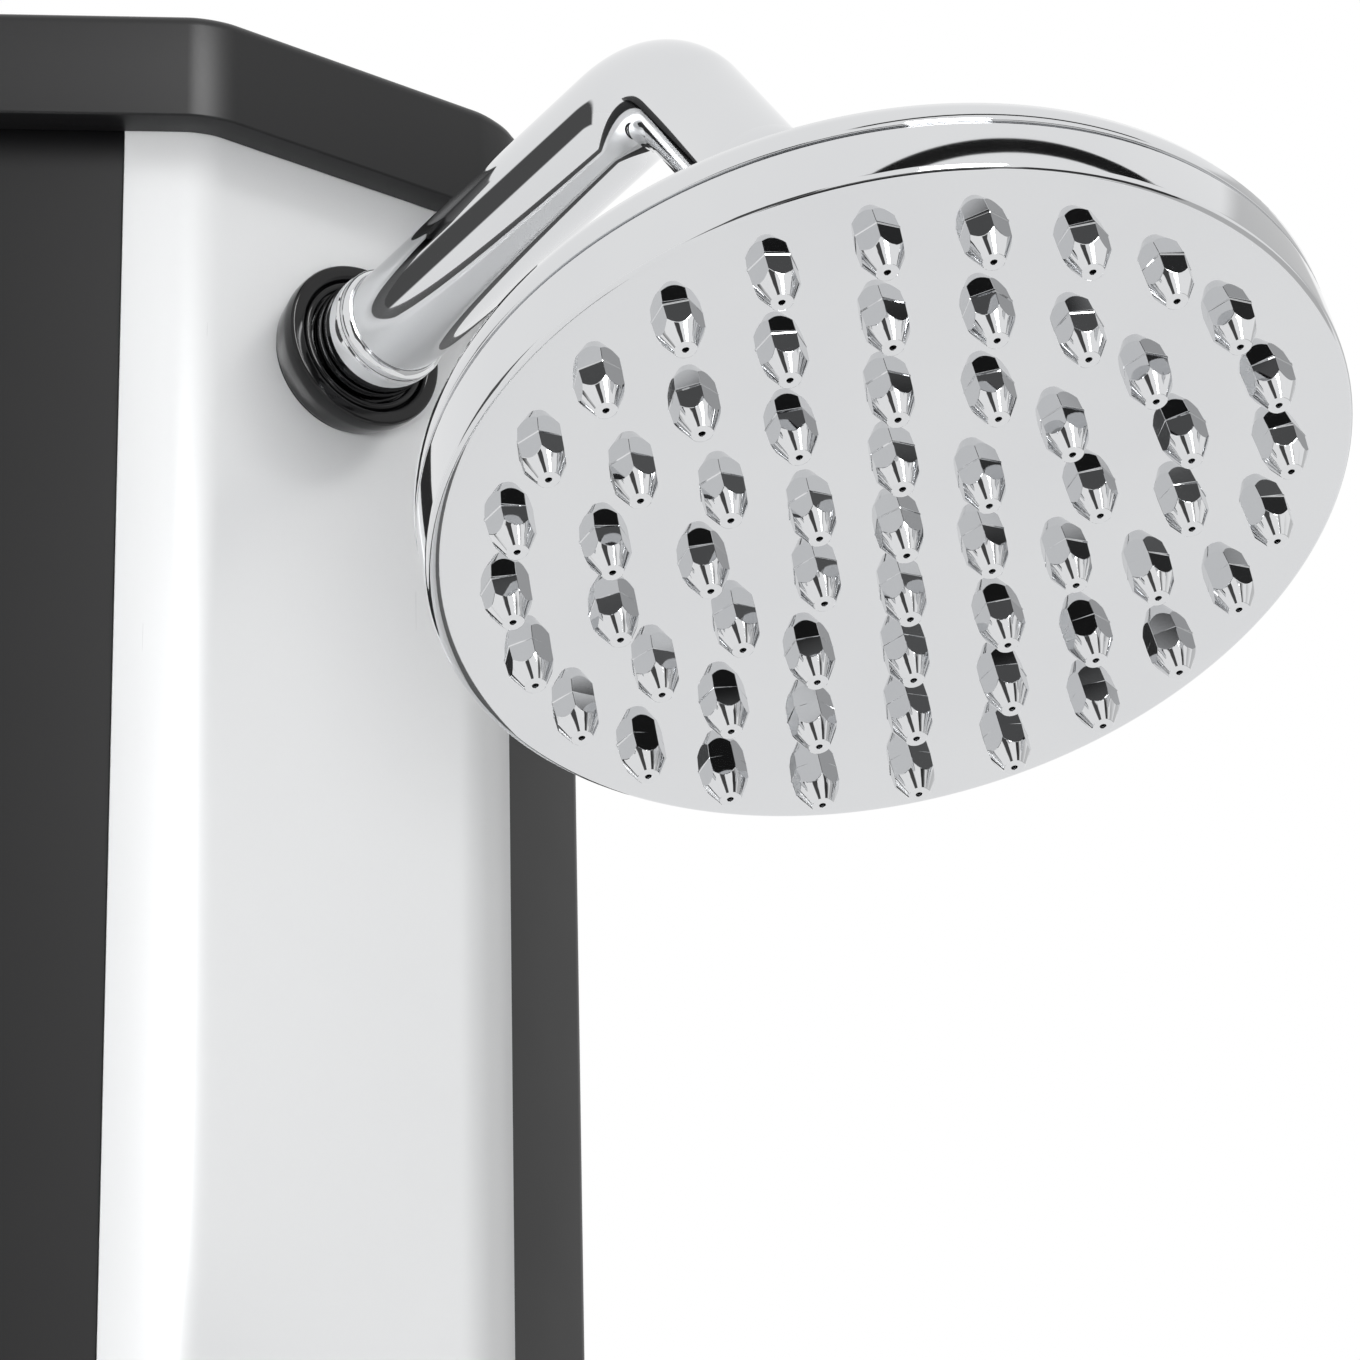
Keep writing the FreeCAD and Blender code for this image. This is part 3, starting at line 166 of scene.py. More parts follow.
# Satin anodised aluminium sheet, brushed along its length: an almost white metal under a milky oxide layer,
# with streaks that are drawn half a millimetre wide, a few times as wide as they are, so that they show
ALUMINIUM = Finish("satin_anodised_aluminium", "e7e8e9", "e3e4e5", (0.27, 0.29), metallic=0.2, mottle=60.0,
                   grain=(0.5, 0.5, 30.0), relief=0.0006, brushed=0.5)
# Blown polyethylene tank: black, fairly glossy, with a soft unevenness in the wall
TANK_BLACK = Finish("black_polyethylene", "0e0e0f", "0b0b0c", (0.36, 0.46), ior=1.33, mottle=80.0,
                    grain=(45.0, 45.0, 45.0), relief=0.05)
# Moulded ABS lid: black with a satin grain
CAP_BLACK = Finish("black_abs_satin", "171718", "131314", (0.32, 0.42), ior=1.38, mottle=40.0,
                   grain=(0.5, 0.5, 0.5), relief=0.003)
# Turned and polished acetal bush: near black, glossy
BUSH_BLACK = Finish("black_acetal_gloss", "0c0c0d", "09090a", (0.08, 0.13), ior=1.38, mottle=12.0,
                    grain=(2.0, 2.0, 2.0), relief=0.002)
# Powder coat on steel plate: black with a fine orange peel
FOOT_BLACK = Finish("black_powder_coat", "18181a", "121213", (0.45, 0.6), mottle=25.0,
                    grain=(1.2, 1.2, 1.2), relief=0.04)
# Turned brass fittings, dulled by water
BRASS = Finish("turned_brass", "b8934f", "a07c3e", (0.22, 0.4), metallic=1.0, mottle=10.0,
               grain=(0.4, 0.4, 0.4), relief=0.003)
# Stainless steel screws and pins, blasted
STEEL = Finish("stainless_steel", "b4b5b6", "a3a4a6", (0.28, 0.4), metallic=1.0, mottle=6.0,
               grain=(0.4, 0.4, 0.4), relief=0.002)
# Moulded EPDM rubber seals: dull black
RUBBER = Finish("epdm_rubber", "1b1b1b", "141414", (0.65, 0.8), mottle=5.0,
                grain=(0.5, 0.5, 0.5), relief=0.01)
# Natural polypropylene pipes and washers: milky white
NATURAL = Finish("natural_polypropylene", "e6e3da", "d9d5ca", (0.38, 0.5), mottle=18.0,
                 grain=(1.5, 1.5, 1.5), relief=0.004)
# Glass-filled polyamide fittings: black with a faint grain
FITTING_BLACK = Finish("black_polyamide", "19191b", "131315", (0.3, 0.45), mottle=8.0,
                       grain=(0.6, 0.6, 0.6), relief=0.006)
# Painted shade for the bore of a nozzle, which no light reaches: a near-black dull material stands for the
# dark inside the hole
PAINTED_BORE_SHADE = Finish("nozzle_bore", "050505", "030303", (0.6, 0.8), mottle=1.0, grain=(0.3, 0.3, 0.3))


class Slot(Enum):
    """The record's material slots."""

    TANK = "black_tank"
    CAP = "black_cap"
    FOOT = "black_base"
    ALUMINIUM = "aluminium"
    BUSH = "black_bush"
    CHROME = "chrome"
    BRASS = "brass"
    STEEL = "steel"
    RUBBER = "rubber"
    NATURAL = "white_plastic"
    FITTING = "black_fittings"


FINISHES: dict[Slot, Finish] = {
    Slot.TANK: TANK_BLACK,
    Slot.CAP: CAP_BLACK,
    Slot.FOOT: FOOT_BLACK,
    Slot.ALUMINIUM: ALUMINIUM,
    Slot.BUSH: BUSH_BLACK,
    Slot.CHROME: CHROME,
    Slot.BRASS: BRASS,
    Slot.STEEL: STEEL,
    Slot.RUBBER: RUBBER,
    Slot.NATURAL: NATURAL,
    Slot.FITTING: FITTING_BLACK,
}


class Join(Enum):
    """How a tool's shape changes a piece."""

    ADD = "UNION"
    CUT = "DIFFERENCE"
    KEEP = "INTERSECT"


class Bench:
    """The modelling steps that the sub-assemblies share. All lengths are in millimetres."""

    @staticmethod
    def edit(part: str = "VERT") -> None:
        """Opens edit mode with everything selected, picking by vertex, edge or face."""
        bpy.ops.object.mode_set(mode="EDIT")
        bpy.ops.mesh.select_mode(type=part)
        bpy.ops.mesh.select_all(action="SELECT")

    @staticmethod
    def close() -> None:
        """Leaves edit mode."""
        bpy.ops.object.mode_set(mode="OBJECT")

    @staticmethod
    def clear() -> None:
        """Deselects every object."""
        bpy.ops.object.select_all(action="DESELECT")

    @staticmethod
    def only(piece: Piece) -> None:
        """Makes one object the selected and active one."""
        Bench.clear()
        piece.select_set(True)
        bpy.context.view_layer.objects.active = piece

    @staticmethod
    def added(name: str) -> Piece:
        """Names the object that was just added and returns it."""
        bpy.context.object.name = name
        return bpy.context.object

    @staticmethod
    def settle() -> None:
        """Moves the selected object's place, turn and scale into its mesh."""
        bpy.ops.object.transform_apply(location=True, rotation=True, scale=True)

    @staticmethod
    def extrude(step: Sequence[float]) -> None:
        """Extrudes what is selected in edit mode by a step along X, Y and Z."""
        bpy.ops.mesh.extrude_region_move(TRANSFORM_OT_translate={"value": [length * MM for length in step]})

    @staticmethod
    def chain(name: str, points: Sequence[Triple]) -> Piece:
        """Draws a chain of edges by extruding one vertex from point to point, and stays in edit mode.

        Args:
            name: the new object's name.
            points: the chain's points.

        Returns:
            The new object.
        """
        Bench.clear()
        bpy.ops.mesh.primitive_plane_add(size=MM, location=(0, 0, 0))
        piece = Bench.added(name)
        Bench.edit()
        bpy.ops.mesh.merge(type="CENTER")
        bpy.ops.transform.translate(value=Vector(points[0]) * MM)
        for start, end in zip(points, points[1:]):
            step = (Vector(end) - Vector(start)) * MM
            bpy.ops.mesh.extrude_vertices_move(TRANSFORM_OT_translate={"value": step})
        return piece

    @staticmethod
    def tidy() -> None:
        """Merges doubled vertices, turns every face outwards and leaves edit mode."""
        bpy.ops.mesh.select_all(action="SELECT")
        bpy.ops.mesh.remove_doubles(threshold=MERGE)
        bpy.ops.mesh.normals_make_consistent(inside=False)
        Bench.close()

    @staticmethod
    def lathe(name: str, profile: Profile, steps: int) -> Piece:
        """Turns a profile about the Z axis. A profile that starts off the axis is closed into a ring.

        Args:
            name: the new object's name.
            profile: points of radius and height.
            steps: how many steps the turn has.

        Returns:
            The new object.
        """
        points = [(radius, 0.0, height) for radius, height in profile]
        if profile[0][0] > 0:
            points.append(points[0])
        piece = Bench.chain(name, points)
        bpy.ops.mesh.select_all(action="SELECT")
        bpy.ops.mesh.spin(steps=steps, angle=math.tau, center=(0, 0, 0), axis=(0, 0, 1))
        Bench.tidy()
        return piece

    @staticmethod
    def pick(piece: Piece, test: Test, part: str = "EDGE") -> None:
        """Opens edit mode with the edges or faces that pass a test selected.

        Args:
            piece: the object that is shaped.
            test: takes an edge's two ends, or a face's centre and normal, in millimetres.
            part: EDGE or FACE.
        """
        Bench.only(piece)
        Bench.edit(part)
        bpy.ops.mesh.select_all(action="DESELECT")
        Bench.close()
        mesh = piece.data
        if part == "EDGE":
            for edge in mesh.edges:
                start, end = (mesh.vertices[number].co / MM for number in edge.vertices)
                edge.select = test(start, end)
        else:
            for face in mesh.polygons:
                face.select = test(face.center / MM, face.normal)
        bpy.ops.object.mode_set(mode="EDIT")

    @staticmethod
    def prism(name: str, outline: Profile, low: float, high: float) -> Piece:
        """Raises a closed outline in the XY plane into an upright prism.

        Args:
            name: the new object's name.
            outline: the outline's corners.
            low: height of the underside.
            high: height of the top.

        Returns:
            The new object.
        """
        points = [(x, y, low) for x, y in outline]
        piece = Bench.chain(name, points + points[:1])
        bpy.ops.mesh.select_all(action="SELECT")
        bpy.ops.mesh.remove_doubles(threshold=MERGE)
        bpy.ops.mesh.edge_face_add()
        Bench.extrude((0, 0, high - low))
        Bench.tidy()
        return piece

    @staticmethod
    def polygon(name: str, corners: int, radius: float, height: float, turn: float) -> Piece:
        """Adds a level polygon round the Z axis and opens it in edit mode.

        Args:
            name: the new object's name.
            corners: how many corners it has.
            radius: how far they are from the axis.
            height: its height.
            turn: degrees about the axis.

        Returns:
            The new object.
        """
        Bench.clear()
        bpy.ops.mesh.primitive_circle_add(vertices=corners, radius=radius * MM, fill_type="NGON",
                                          location=(0, 0, height * MM), rotation=(0, 0, math.radians(turn)))
        piece = Bench.added(name)
        Bench.settle()
        Bench.edit("FACE")
        return piece

    @staticmethod
    def block(name: str, size: Triple, centre: Triple) -> Piece:
        """Adds a block.

        Args:
            name: the new object's name.
            size: its length, depth and height.
            centre: its middle.

        Returns:
            The new object.
        """
        Bench.clear()
        bpy.ops.mesh.primitive_cube_add(size=MM, location=Vector(centre) * MM)
        piece = Bench.added(name)
        piece.scale = size
        Bench.settle()
        return piece

    @staticmethod
    def copy(piece: Piece) -> Piece:
        """Returns a copy of an object, with its own mesh."""
        twin = piece.copy()
        twin.data = piece.data.copy()
        bpy.context.collection.objects.link(twin)
        return twin

    @staticmethod
    def join(pieces: Sequence[Piece]) -> Piece:
        """Joins objects into the first of them and returns it."""
        Bench.only(pieces[0])
        for piece in pieces:
            piece.select_set(True)
        bpy.ops.object.join()
        return pieces[0]

    @staticmethod
    def thicken(piece: Piece, wall: float, outwards: bool) -> None:
        """Gives an open skin its wall.

        Args:
            piece: the object that is shaped.
            wall: the wall's thickness.
            outwards: whether the wall grows the way that the faces point, or else the other way.
        """
        Bench.only(piece)
        step = piece.modifiers.new("wall", "SOLIDIFY")
        step.thickness = wall * MM
        step.offset = 1.0 if outwards else -1.0
        bpy.ops.object.modifier_apply(modifier=step.name)

    @staticmethod
    def combine(piece: Piece, tool: Piece, how: Join) -> None:
        """Adds a tool's shape to a piece or cuts the piece with it, and removes the tool.

        Args:
            piece: the object that is shaped.
            tool: the object that is used up.
            how: what the tool does.
        """
        Bench.only(piece)
        step = piece.modifiers.new("combine", "BOOLEAN")
        step.operation = how.value
        step.object = tool
        bpy.ops.object.modifier_apply(modifier=step.name)
        bpy.data.objects.remove(tool)

    @staticmethod
    def flute(piece: Piece, low: float, high: float, reach: float, margin: float, depth: float) -> None:
        """Presses a ring of grip flutes into a turned piece, one to each face of the turn.

        Args:
            piece: the object that is shaped.
            low: where the flutes start.
            high: where they end.
            reach: only faces further from the axis than this get one.
            margin: width of the rib that is left beside each flute.
            depth: the flutes' depth.
        """
        def on_band(centre: Vector, normal: Vector) -> bool:
            """True for an upright face of the band."""
            return abs(normal.z) < UPRIGHT and low < centre.z < high and centre.xy.length > reach
        Bench.pick(piece, on_band, "FACE")
        bpy.ops.mesh.inset(thickness=margin * MM, depth=-depth * MM, use_individual=True)
        Bench.close()

    @staticmethod
    def round_edges(piece: Piece, test: Test, width: float, segments: int) -> None:
        """Rounds the edges that pass a test.

        Args:
            piece: the object that is shaped.
            test: takes an edge's two ends, in millimetres.
            width: how far the rounding reaches from the edge.
            segments: how many faces the rounding has.
        """
        Bench.pick(piece, test)
        bpy.ops.mesh.bevel(offset=width * MM, segments=segments, profile=0.5, affect="EDGES")
        Bench.close()

    @staticmethod
    def soften(piece: Piece, width: float = 0.0, segments: int = 3, angle: float = 30.0,
               smooth: float = 30.0) -> Piece:
        """Breaks every sharp edge with a small rounding and shades the rest smooth.

        Args:
            piece: the object that is finished.
            width: the rounding's width, or 0 for none.
            segments: how many faces the rounding has.
            angle: edges that turn by more degrees than this are rounded.
            smooth: edges that turn by fewer degrees than this are shaded smooth.

        Returns:
            The same object.
        """
        Bench.only(piece)
        if width:
            rounding = piece.modifiers.new("rounding", "BEVEL")
            rounding.width = width * MM
            rounding.segments = segments
            rounding.limit_method = "ANGLE"
            rounding.angle_limit = math.radians(angle)
            bpy.ops.object.modifier_apply(modifier=rounding.name)
        bpy.ops.object.shade_smooth_by_angle(angle=math.radians(smooth))
        return piece

    @staticmethod
    def stand(piece: Piece, place: Triple, turn: float = 0.0, swing: float = 0.0) -> Piece:
        """Turns a piece, moves it to its place and leaves its object at the origin.

        Args:
            piece: the object that is placed.
            place: where its own origin goes.
            turn: degrees about the X axis.
            swing: degrees about the upright axis, after that turn.

        Returns:
            The same object.
        """
        Bench.only(piece)
        piece.rotation_euler = (math.radians(turn), 0, math.radians(swing))
        piece.location = Vector(place) * MM
        Bench.settle()
        return piece


def dress(piece: Piece, body: str, slot: Slot, *nodes: str) -> None:
    """Gives a finished piece its finish, the body that it rides on and the CAD nodes that it stands for.

    Args:
        piece: the finished object.
        body: the CAD body's name.
        slot: the record's slot that its finish belongs to.
        nodes: the CAD nodes that it replaces.
    """
    if not piece.data.materials:
        piece.data.materials.append(FINISHES[slot].material())
    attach(piece, body)
    if nodes:
        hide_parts(*nodes)
    LOG.info("%s rides on %s, %d faces", piece.name, body, len(piece.data.polygons))


# Turns about X that point a piece's own +Z to the front or to the back
TO_FRONT = 90.0
TO_BACK = -90.0
# Where the column's front and back are on the Y axis, and the centre of the ball that the head turns on
FRONT_FACE = -64.7
BACK_FACE = 63.5
BALL: Triple = (0.0, -208.787, 2063.955)


def on_front(piece: Piece, height: float) -> Piece:
    """Moves a turned piece to the column's front, pointing to the front, and returns it."""
    return Bench.stand(piece, (0.0, FRONT_FACE, height), TO_FRONT)


def on_back(piece: Piece, height: float) -> Piece:
    """Moves a turned piece to the column's back, pointing to the back, and returns it."""
    return Bench.stand(piece, (0.0, BACK_FACE, height), TO_BACK)


@dataclass
class SprayHead:
    """The round head on its ball joint, with a domed mirror face and rings of hexagonal nozzles."""

    tilt: float = 17.0
    rim_drop: float = 62.2
    radius: float = 75.4
    dome: float = 2.8
    skirt: float = 10.4
    barrel: float = 0.15
    rim_round: float = 0.9
    seam: float = 0.15
    wall: float = 2.6
    floor: float = 3.0
    neck: float = 12.0
    neck_bore: float = 5.0
    neck_top: float = -10.3
    nut_radius: float = 16.5
    pitch: float = 15.75
    phase: float = 51.7
    rings: int = 4
    nozzle_side: float = 4.0
    nozzle_draft: float = 0.4
    nozzle_foot: float = 0.12
    nozzle_root: float = 0.8
    nozzle_height: float = 6.8
    nozzle_tip: float = 1.8
    nozzle_bore: float = 0.55
    nozzle_drill: float = 2.0
    face_steps: int = 24
    turn_steps: int = 192

    @property
    def sphere(self) -> float:
        """Radius of the sphere that the face is a cap of."""
        return (self.radius ** 2 + self.dome ** 2) / (2 * self.dome)

    def level(self, reach: float) -> float:
        """Height of the face at a distance from its axis, from the ball's centre."""
        return self.sphere - math.sqrt(self.sphere ** 2 - reach ** 2) - self.rim_drop - self.dome

    def hang(self, piece: Piece) -> Piece:
        """Moves a piece from the head's own frame, whose origin is the ball, to its place."""
        return Bench.stand(piece, BALL, -self.tilt)

    def face(self) -> None:
        """Turns the face with its skirt, which swells a little halfway up."""
        edge = self.radius - self.barrel
        inner = self.radius - self.wall
        top = self.skirt - self.rim_drop
        floor = self.floor - self.rim_drop
        reaches = [edge * step / self.face_steps for step in range(self.face_steps + 1)]
        profile = [(reach, self.level(reach)) for reach in reaches]
        for share in (-0.75, -0.5, -0.25, 0.0, 0.25, 0.5, 0.75):
            profile.append((self.radius - self.barrel * share ** 2, top + self.skirt * (share - 1) / 2))
        profile += [(edge, top), (inner, top), (inner, floor), (0.0, floor)]
        shell = Bench.lathe("face_shell", profile, self.turn_steps)
        Bench.soften(shell, width=self.rim_round, segments=5, angle=40.0, smooth=40.0)
        dress(self.hang(shell), "head", Slot.CHROME, "spray_face")

    def nozzle(self) -> Piece:
        """Models one nozzle: a drafted hexagonal stub, cut by a turned cone, with a drilled flat tip.

        Returns:
            The nozzle, pointing down from the origin.
        """
        root = self.nozzle_root
        end = -self.nozzle_height
        cone = Bench.lathe("nozzle_cone", [
            (0.0, root), (5.2, root), (5.2, -0.9), (4.5, -1.7), (3.9, -2.8), (3.34, -3.9), (2.7, -5.1),
            (self.nozzle_tip, end), (0.0, end)], steps=40)
        foot = self.nozzle_side + self.nozzle_foot
        stub = Bench.polygon("nozzle", corners=6, radius=foot, height=root, turn=30.0)
        # Height and corner radius down the stub: its foot, a small shoulder, and drafted sides past the tip
        rows = [(root, foot), (-0.03, foot), (-0.14, self.nozzle_side),
                (end - 1.0, self.nozzle_side - self.nozzle_draft)]
        for (level, side), (lower, next_side) in zip(rows, rows[1:]):
            Bench.extrude((0, 0, lower - level))
            shrink = next_side / side
            bpy.ops.transform.resize(value=(shrink, shrink, 1.0))
        Bench.tidy()
        Bench.combine(stub, cone, Join.KEEP)
        stub.data.materials.append(CHROME.material())
        stub.data.materials.append(PAINTED_BORE_SHADE.material())
        Bench.pick(stub, lambda centre, normal: centre.z < end + NEAR, "FACE")
        bpy.ops.mesh.inset(thickness=(self.nozzle_tip - self.nozzle_bore) * MM)
        # The bore's floor and walls get the painted shade that stands for the dark inside the hole
        stub.active_material_index = 1
        bpy.ops.object.material_slot_assign()
        Bench.extrude((0, 0, self.nozzle_drill))
        bpy.ops.object.material_slot_assign()
        Bench.close()
        return Bench.soften(stub, width=0.05, segments=1, angle=20.0, smooth=10.5)

    def nozzles(self) -> None:
        """Copies the nozzle round each ring, a corner of each hexagon pointing outwards."""
        first = self.nozzle()
        made = [first]
        for ring in range(1, self.rings + 1):
            reach = self.pitch * ring
            count = 6 * ring
            copy = Bench.stand(Bench.copy(first), (reach, 0.0, self.level(reach)))
            Bench.edit()
            share = math.tau * (count - 1) / count
            bpy.ops.mesh.spin(steps=count - 1, dupli=True, angle=share, center=(0, 0, 0), axis=(0, 0, 1))
            Bench.close()
            made.append(Bench.stand(copy, (0.0, 0.0, 0.0), swing=self.phase))
        Bench.stand(first, (0.0, 0.0, self.level(0.0)))
        nozzles = Bench.join(made)
        nozzles.name = "nozzles"
        dress(self.hang(nozzles), "head", Slot.CHROME)

    def back(self) -> None:
        """Turns the back shell, from its lip over a low dome to the neck."""
        low = self.skirt - self.rim_drop + self.seam
        edge = self.radius - self.seam
        inner = self.radius - self.wall - 3.0
        outside = [
            (edge, 0.0), (edge, 2.7), (74.4, 4.6), (72.4, 6.0), (69.4, 6.9), (66.4, 7.4), (58.0, 9.3),
            (46.0, 12.4), (34.0, 15.5), (26.0, 17.7), (21.0, 19.3), (17.2, 21.4), (14.4, 24.2),
            (12.6, 27.4), (self.neck, 31.0)]
        neck = [(self.neck, self.neck_top), (self.neck_bore, self.neck_top)]
        inside = [(self.neck_bore, 16.2), (18.4, 16.2), (63.8, 4.4), (inner, 2.2)]
        profile = [(radius, low + rise) for radius, rise in [(inner, 0.0)] + outside]
        profile += neck + [(radius, low + rise) for radius, rise in inside]
        shell = Bench.lathe("head_shell", profile, self.turn_steps)
        Bench.soften(shell, width=0.25, segments=3, angle=40.0, smooth=35.0)
        dress(self.hang(shell), "head", Slot.CHROME, "head_back")

    def nut(self) -> None:
        """Turns the swivel nut and presses a ring of grip flutes into it."""
        rim = self.nut_radius
        band = rim - 0.6
        nut = Bench.lathe("grip_nut", [
            (12.3, -24.0), (rim - 0.9, -24.0), (rim, -23.1), (rim, -19.6), (band, -19.0), (band, -4.0),
            (rim, -3.4), (rim, 0.0), (16.1, 2.4), (13.5, 7.5), (8.9, 7.5), (8.3, 4.8), (9.6, 0.3),
            (9.6, -3.2), (12.3, -3.2)], steps=48)
        Bench.flute(nut, low=-19.0, high=-4.0, reach=15.0, margin=0.45, depth=0.5)
        Bench.soften(nut, width=0.15, segments=2, angle=25.0, smooth=30.0)
        dress(self.hang(nut), "head", Slot.CHROME, "swivel_nut")

    def build(self) -> None:
        """Builds the pieces of the head."""
        self.face()
        self.nozzles()
        self.back()
        self.nut()


@dataclass
class ShowerArm:
    """The bent chrome tube with its collar, the black bush that it comes out of, and the ball stud."""

    height: float = 2107.6
    radius: float = 10.0
    bore: float = 8.2
    tail: float = 16.0
    rise: float = 6.0
    rise_start: float = 24.0
    rise_radius: float = 90.0
    reach: float = 104.0
    fall: float = 52.4
    bend_radius: float = 25.0
    leg: float = 43.7
    ball: float = 9.0
    stem: float = 4.5
    stem_bore: float = 2.6
    thread: float = 7.9

    def tube(self) -> None:
        """Draws the tube out of a circle: level, a slight rise, straight, the bend, and the last leg."""
        Bench.clear()
        bpy.ops.mesh.primitive_circle_add(vertices=96, radius=self.radius * MM, fill_type="NOTHING",
                                          rotation=(math.pi / 2, 0, 0))
        tube = Bench.added("bent_tube")
        Bench.settle()
        Bench.edit()
        bpy.ops.transform.translate(value=(0, self.tail * MM, 0))
        rise = math.radians(self.rise)
        fall = math.radians(self.fall)
        trim = self.rise_radius * math.tan(rise / 2)
        cut = self.bend_radius * math.tan((rise + fall) / 2)
        first = self.rise_start - trim
        middle = (self.reach - self.rise_start) / math.cos(rise) - trim - cut
        self.extend(0.0, first + self.tail)
        bpy.ops.mesh.spin(steps=8, angle=rise, center=(0, -first * MM, self.rise_radius * MM),
                          axis=(1, 0, 0))
        start = Vector((0, -first, 0)) + self.rise_radius * Vector((0, -math.sin(rise), 1 - math.cos(rise)))
        self.extend(rise, middle)
        start += middle * Vector((0, -math.cos(rise), math.sin(rise)))
        centre = start - self.bend_radius * Vector((0, math.sin(rise), math.cos(rise)))
        bpy.ops.mesh.spin(steps=40, angle=-rise - fall, center=centre * MM, axis=(1, 0, 0))
        self.extend(-fall, self.leg - cut)
        Bench.tidy()
        Bench.thicken(tube, self.radius - self.bore, outwards=False)
        Bench.soften(tube)
        dress(Bench.stand(tube, (0.0, FRONT_FACE, self.height)), "column", Slot.CHROME, "arm_tube")

    @staticmethod
    def extend(angle: float, length: float) -> None:
        """Extrudes the tube's open end straight out.

        Args:
            angle: how far the stretch rises, in radians.
            length: the stretch's length.
        """
        Bench.extrude((0, -math.cos(angle) * length, math.sin(angle) * length))

    def collar(self) -> None:
        """Turns the chrome collar, with its fine groove and the step down to the tube."""
        collar = Bench.lathe("tube_collar", [
            (10.0, 7.2), (11.2, 7.2), (11.2, 16.1), (10.75, 16.3), (10.75, 16.6), (11.1, 16.8), (11.1, 18.0),
            (10.8, 18.7), (10.25, 19.2), (10.0, 19.2)], steps=128)
        Bench.soften(collar, width=0.12, segments=2)
        dress(on_front(collar, self.height), "column", Slot.CHROME, "arm_collar")

    def bush(self) -> None:
        """Turns the bush with its sunk face, and the glossy ring that locks the collar in it."""
        bush = Bench.lathe("wall_bush", [
            (10.3, -14.0), (12.2, -14.0), (12.2, 0.8), (14.4, 0.8), (14.9, 1.2), (16.1, 5.6), (16.2, 6.4),
            (16.2, 8.5), (15.8, 8.9), (13.8, 8.9), (13.3, 8.4), (13.3, 7.2), (10.3, 7.2)], steps=128)
        Bench.soften(bush, width=0.35, segments=4)
        dress(on_front(bush, self.height), "column", Slot.BUSH, "arm_bush")
        ring = Bench.lathe("lock_ring", [
            (11.5, 7.2), (13.0, 7.2), (13.0, 7.9), (12.9, 8.25), (12.65, 8.5), (12.25, 8.6), (11.85, 8.5),
            (11.6, 8.25), (11.5, 7.9)], steps=128)
        Bench.soften(ring, smooth=45.0)
        dress(on_front(ring, self.height), "column", Slot.BUSH, "arm_lock_ring")

    def stud(self) -> None:
        """Turns the ball stud: ball, stem, collar and the thread inside the tube."""
        # The ball's outline runs between these degrees from its lowest point
        start, end, steps = 20.0, 150.0, 12
        turns = [math.radians(start + (end - start) * step / steps) for step in range(1, steps + 1)]
        ball = [(self.ball * math.sin(turn), -self.ball * math.cos(turn)) for turn in turns]
        stud = Bench.lathe("ball_and_stem", [(self.stem_bore, -8.6)] + ball + [
            (self.stem, 9.4), (self.stem, 16.0), (10.2, 16.0), (10.8, 16.6), (10.8, 21.4), (10.2, 22.0),
            (self.thread, 22.0), (self.thread, 34.0), (self.stem_bore, 34.0)], steps=96)
        Bench.soften(stud, width=0.2, segments=2, angle=35.0)
        dress(Bench.stand(stud, BALL, self.fall - 90.0), "column", Slot.CHROME, "ball_stud")

    def build(self) -> None:
        """Builds the pieces of the arm."""
        self.tube()
        self.collar()
        self.bush()
        self.stud()


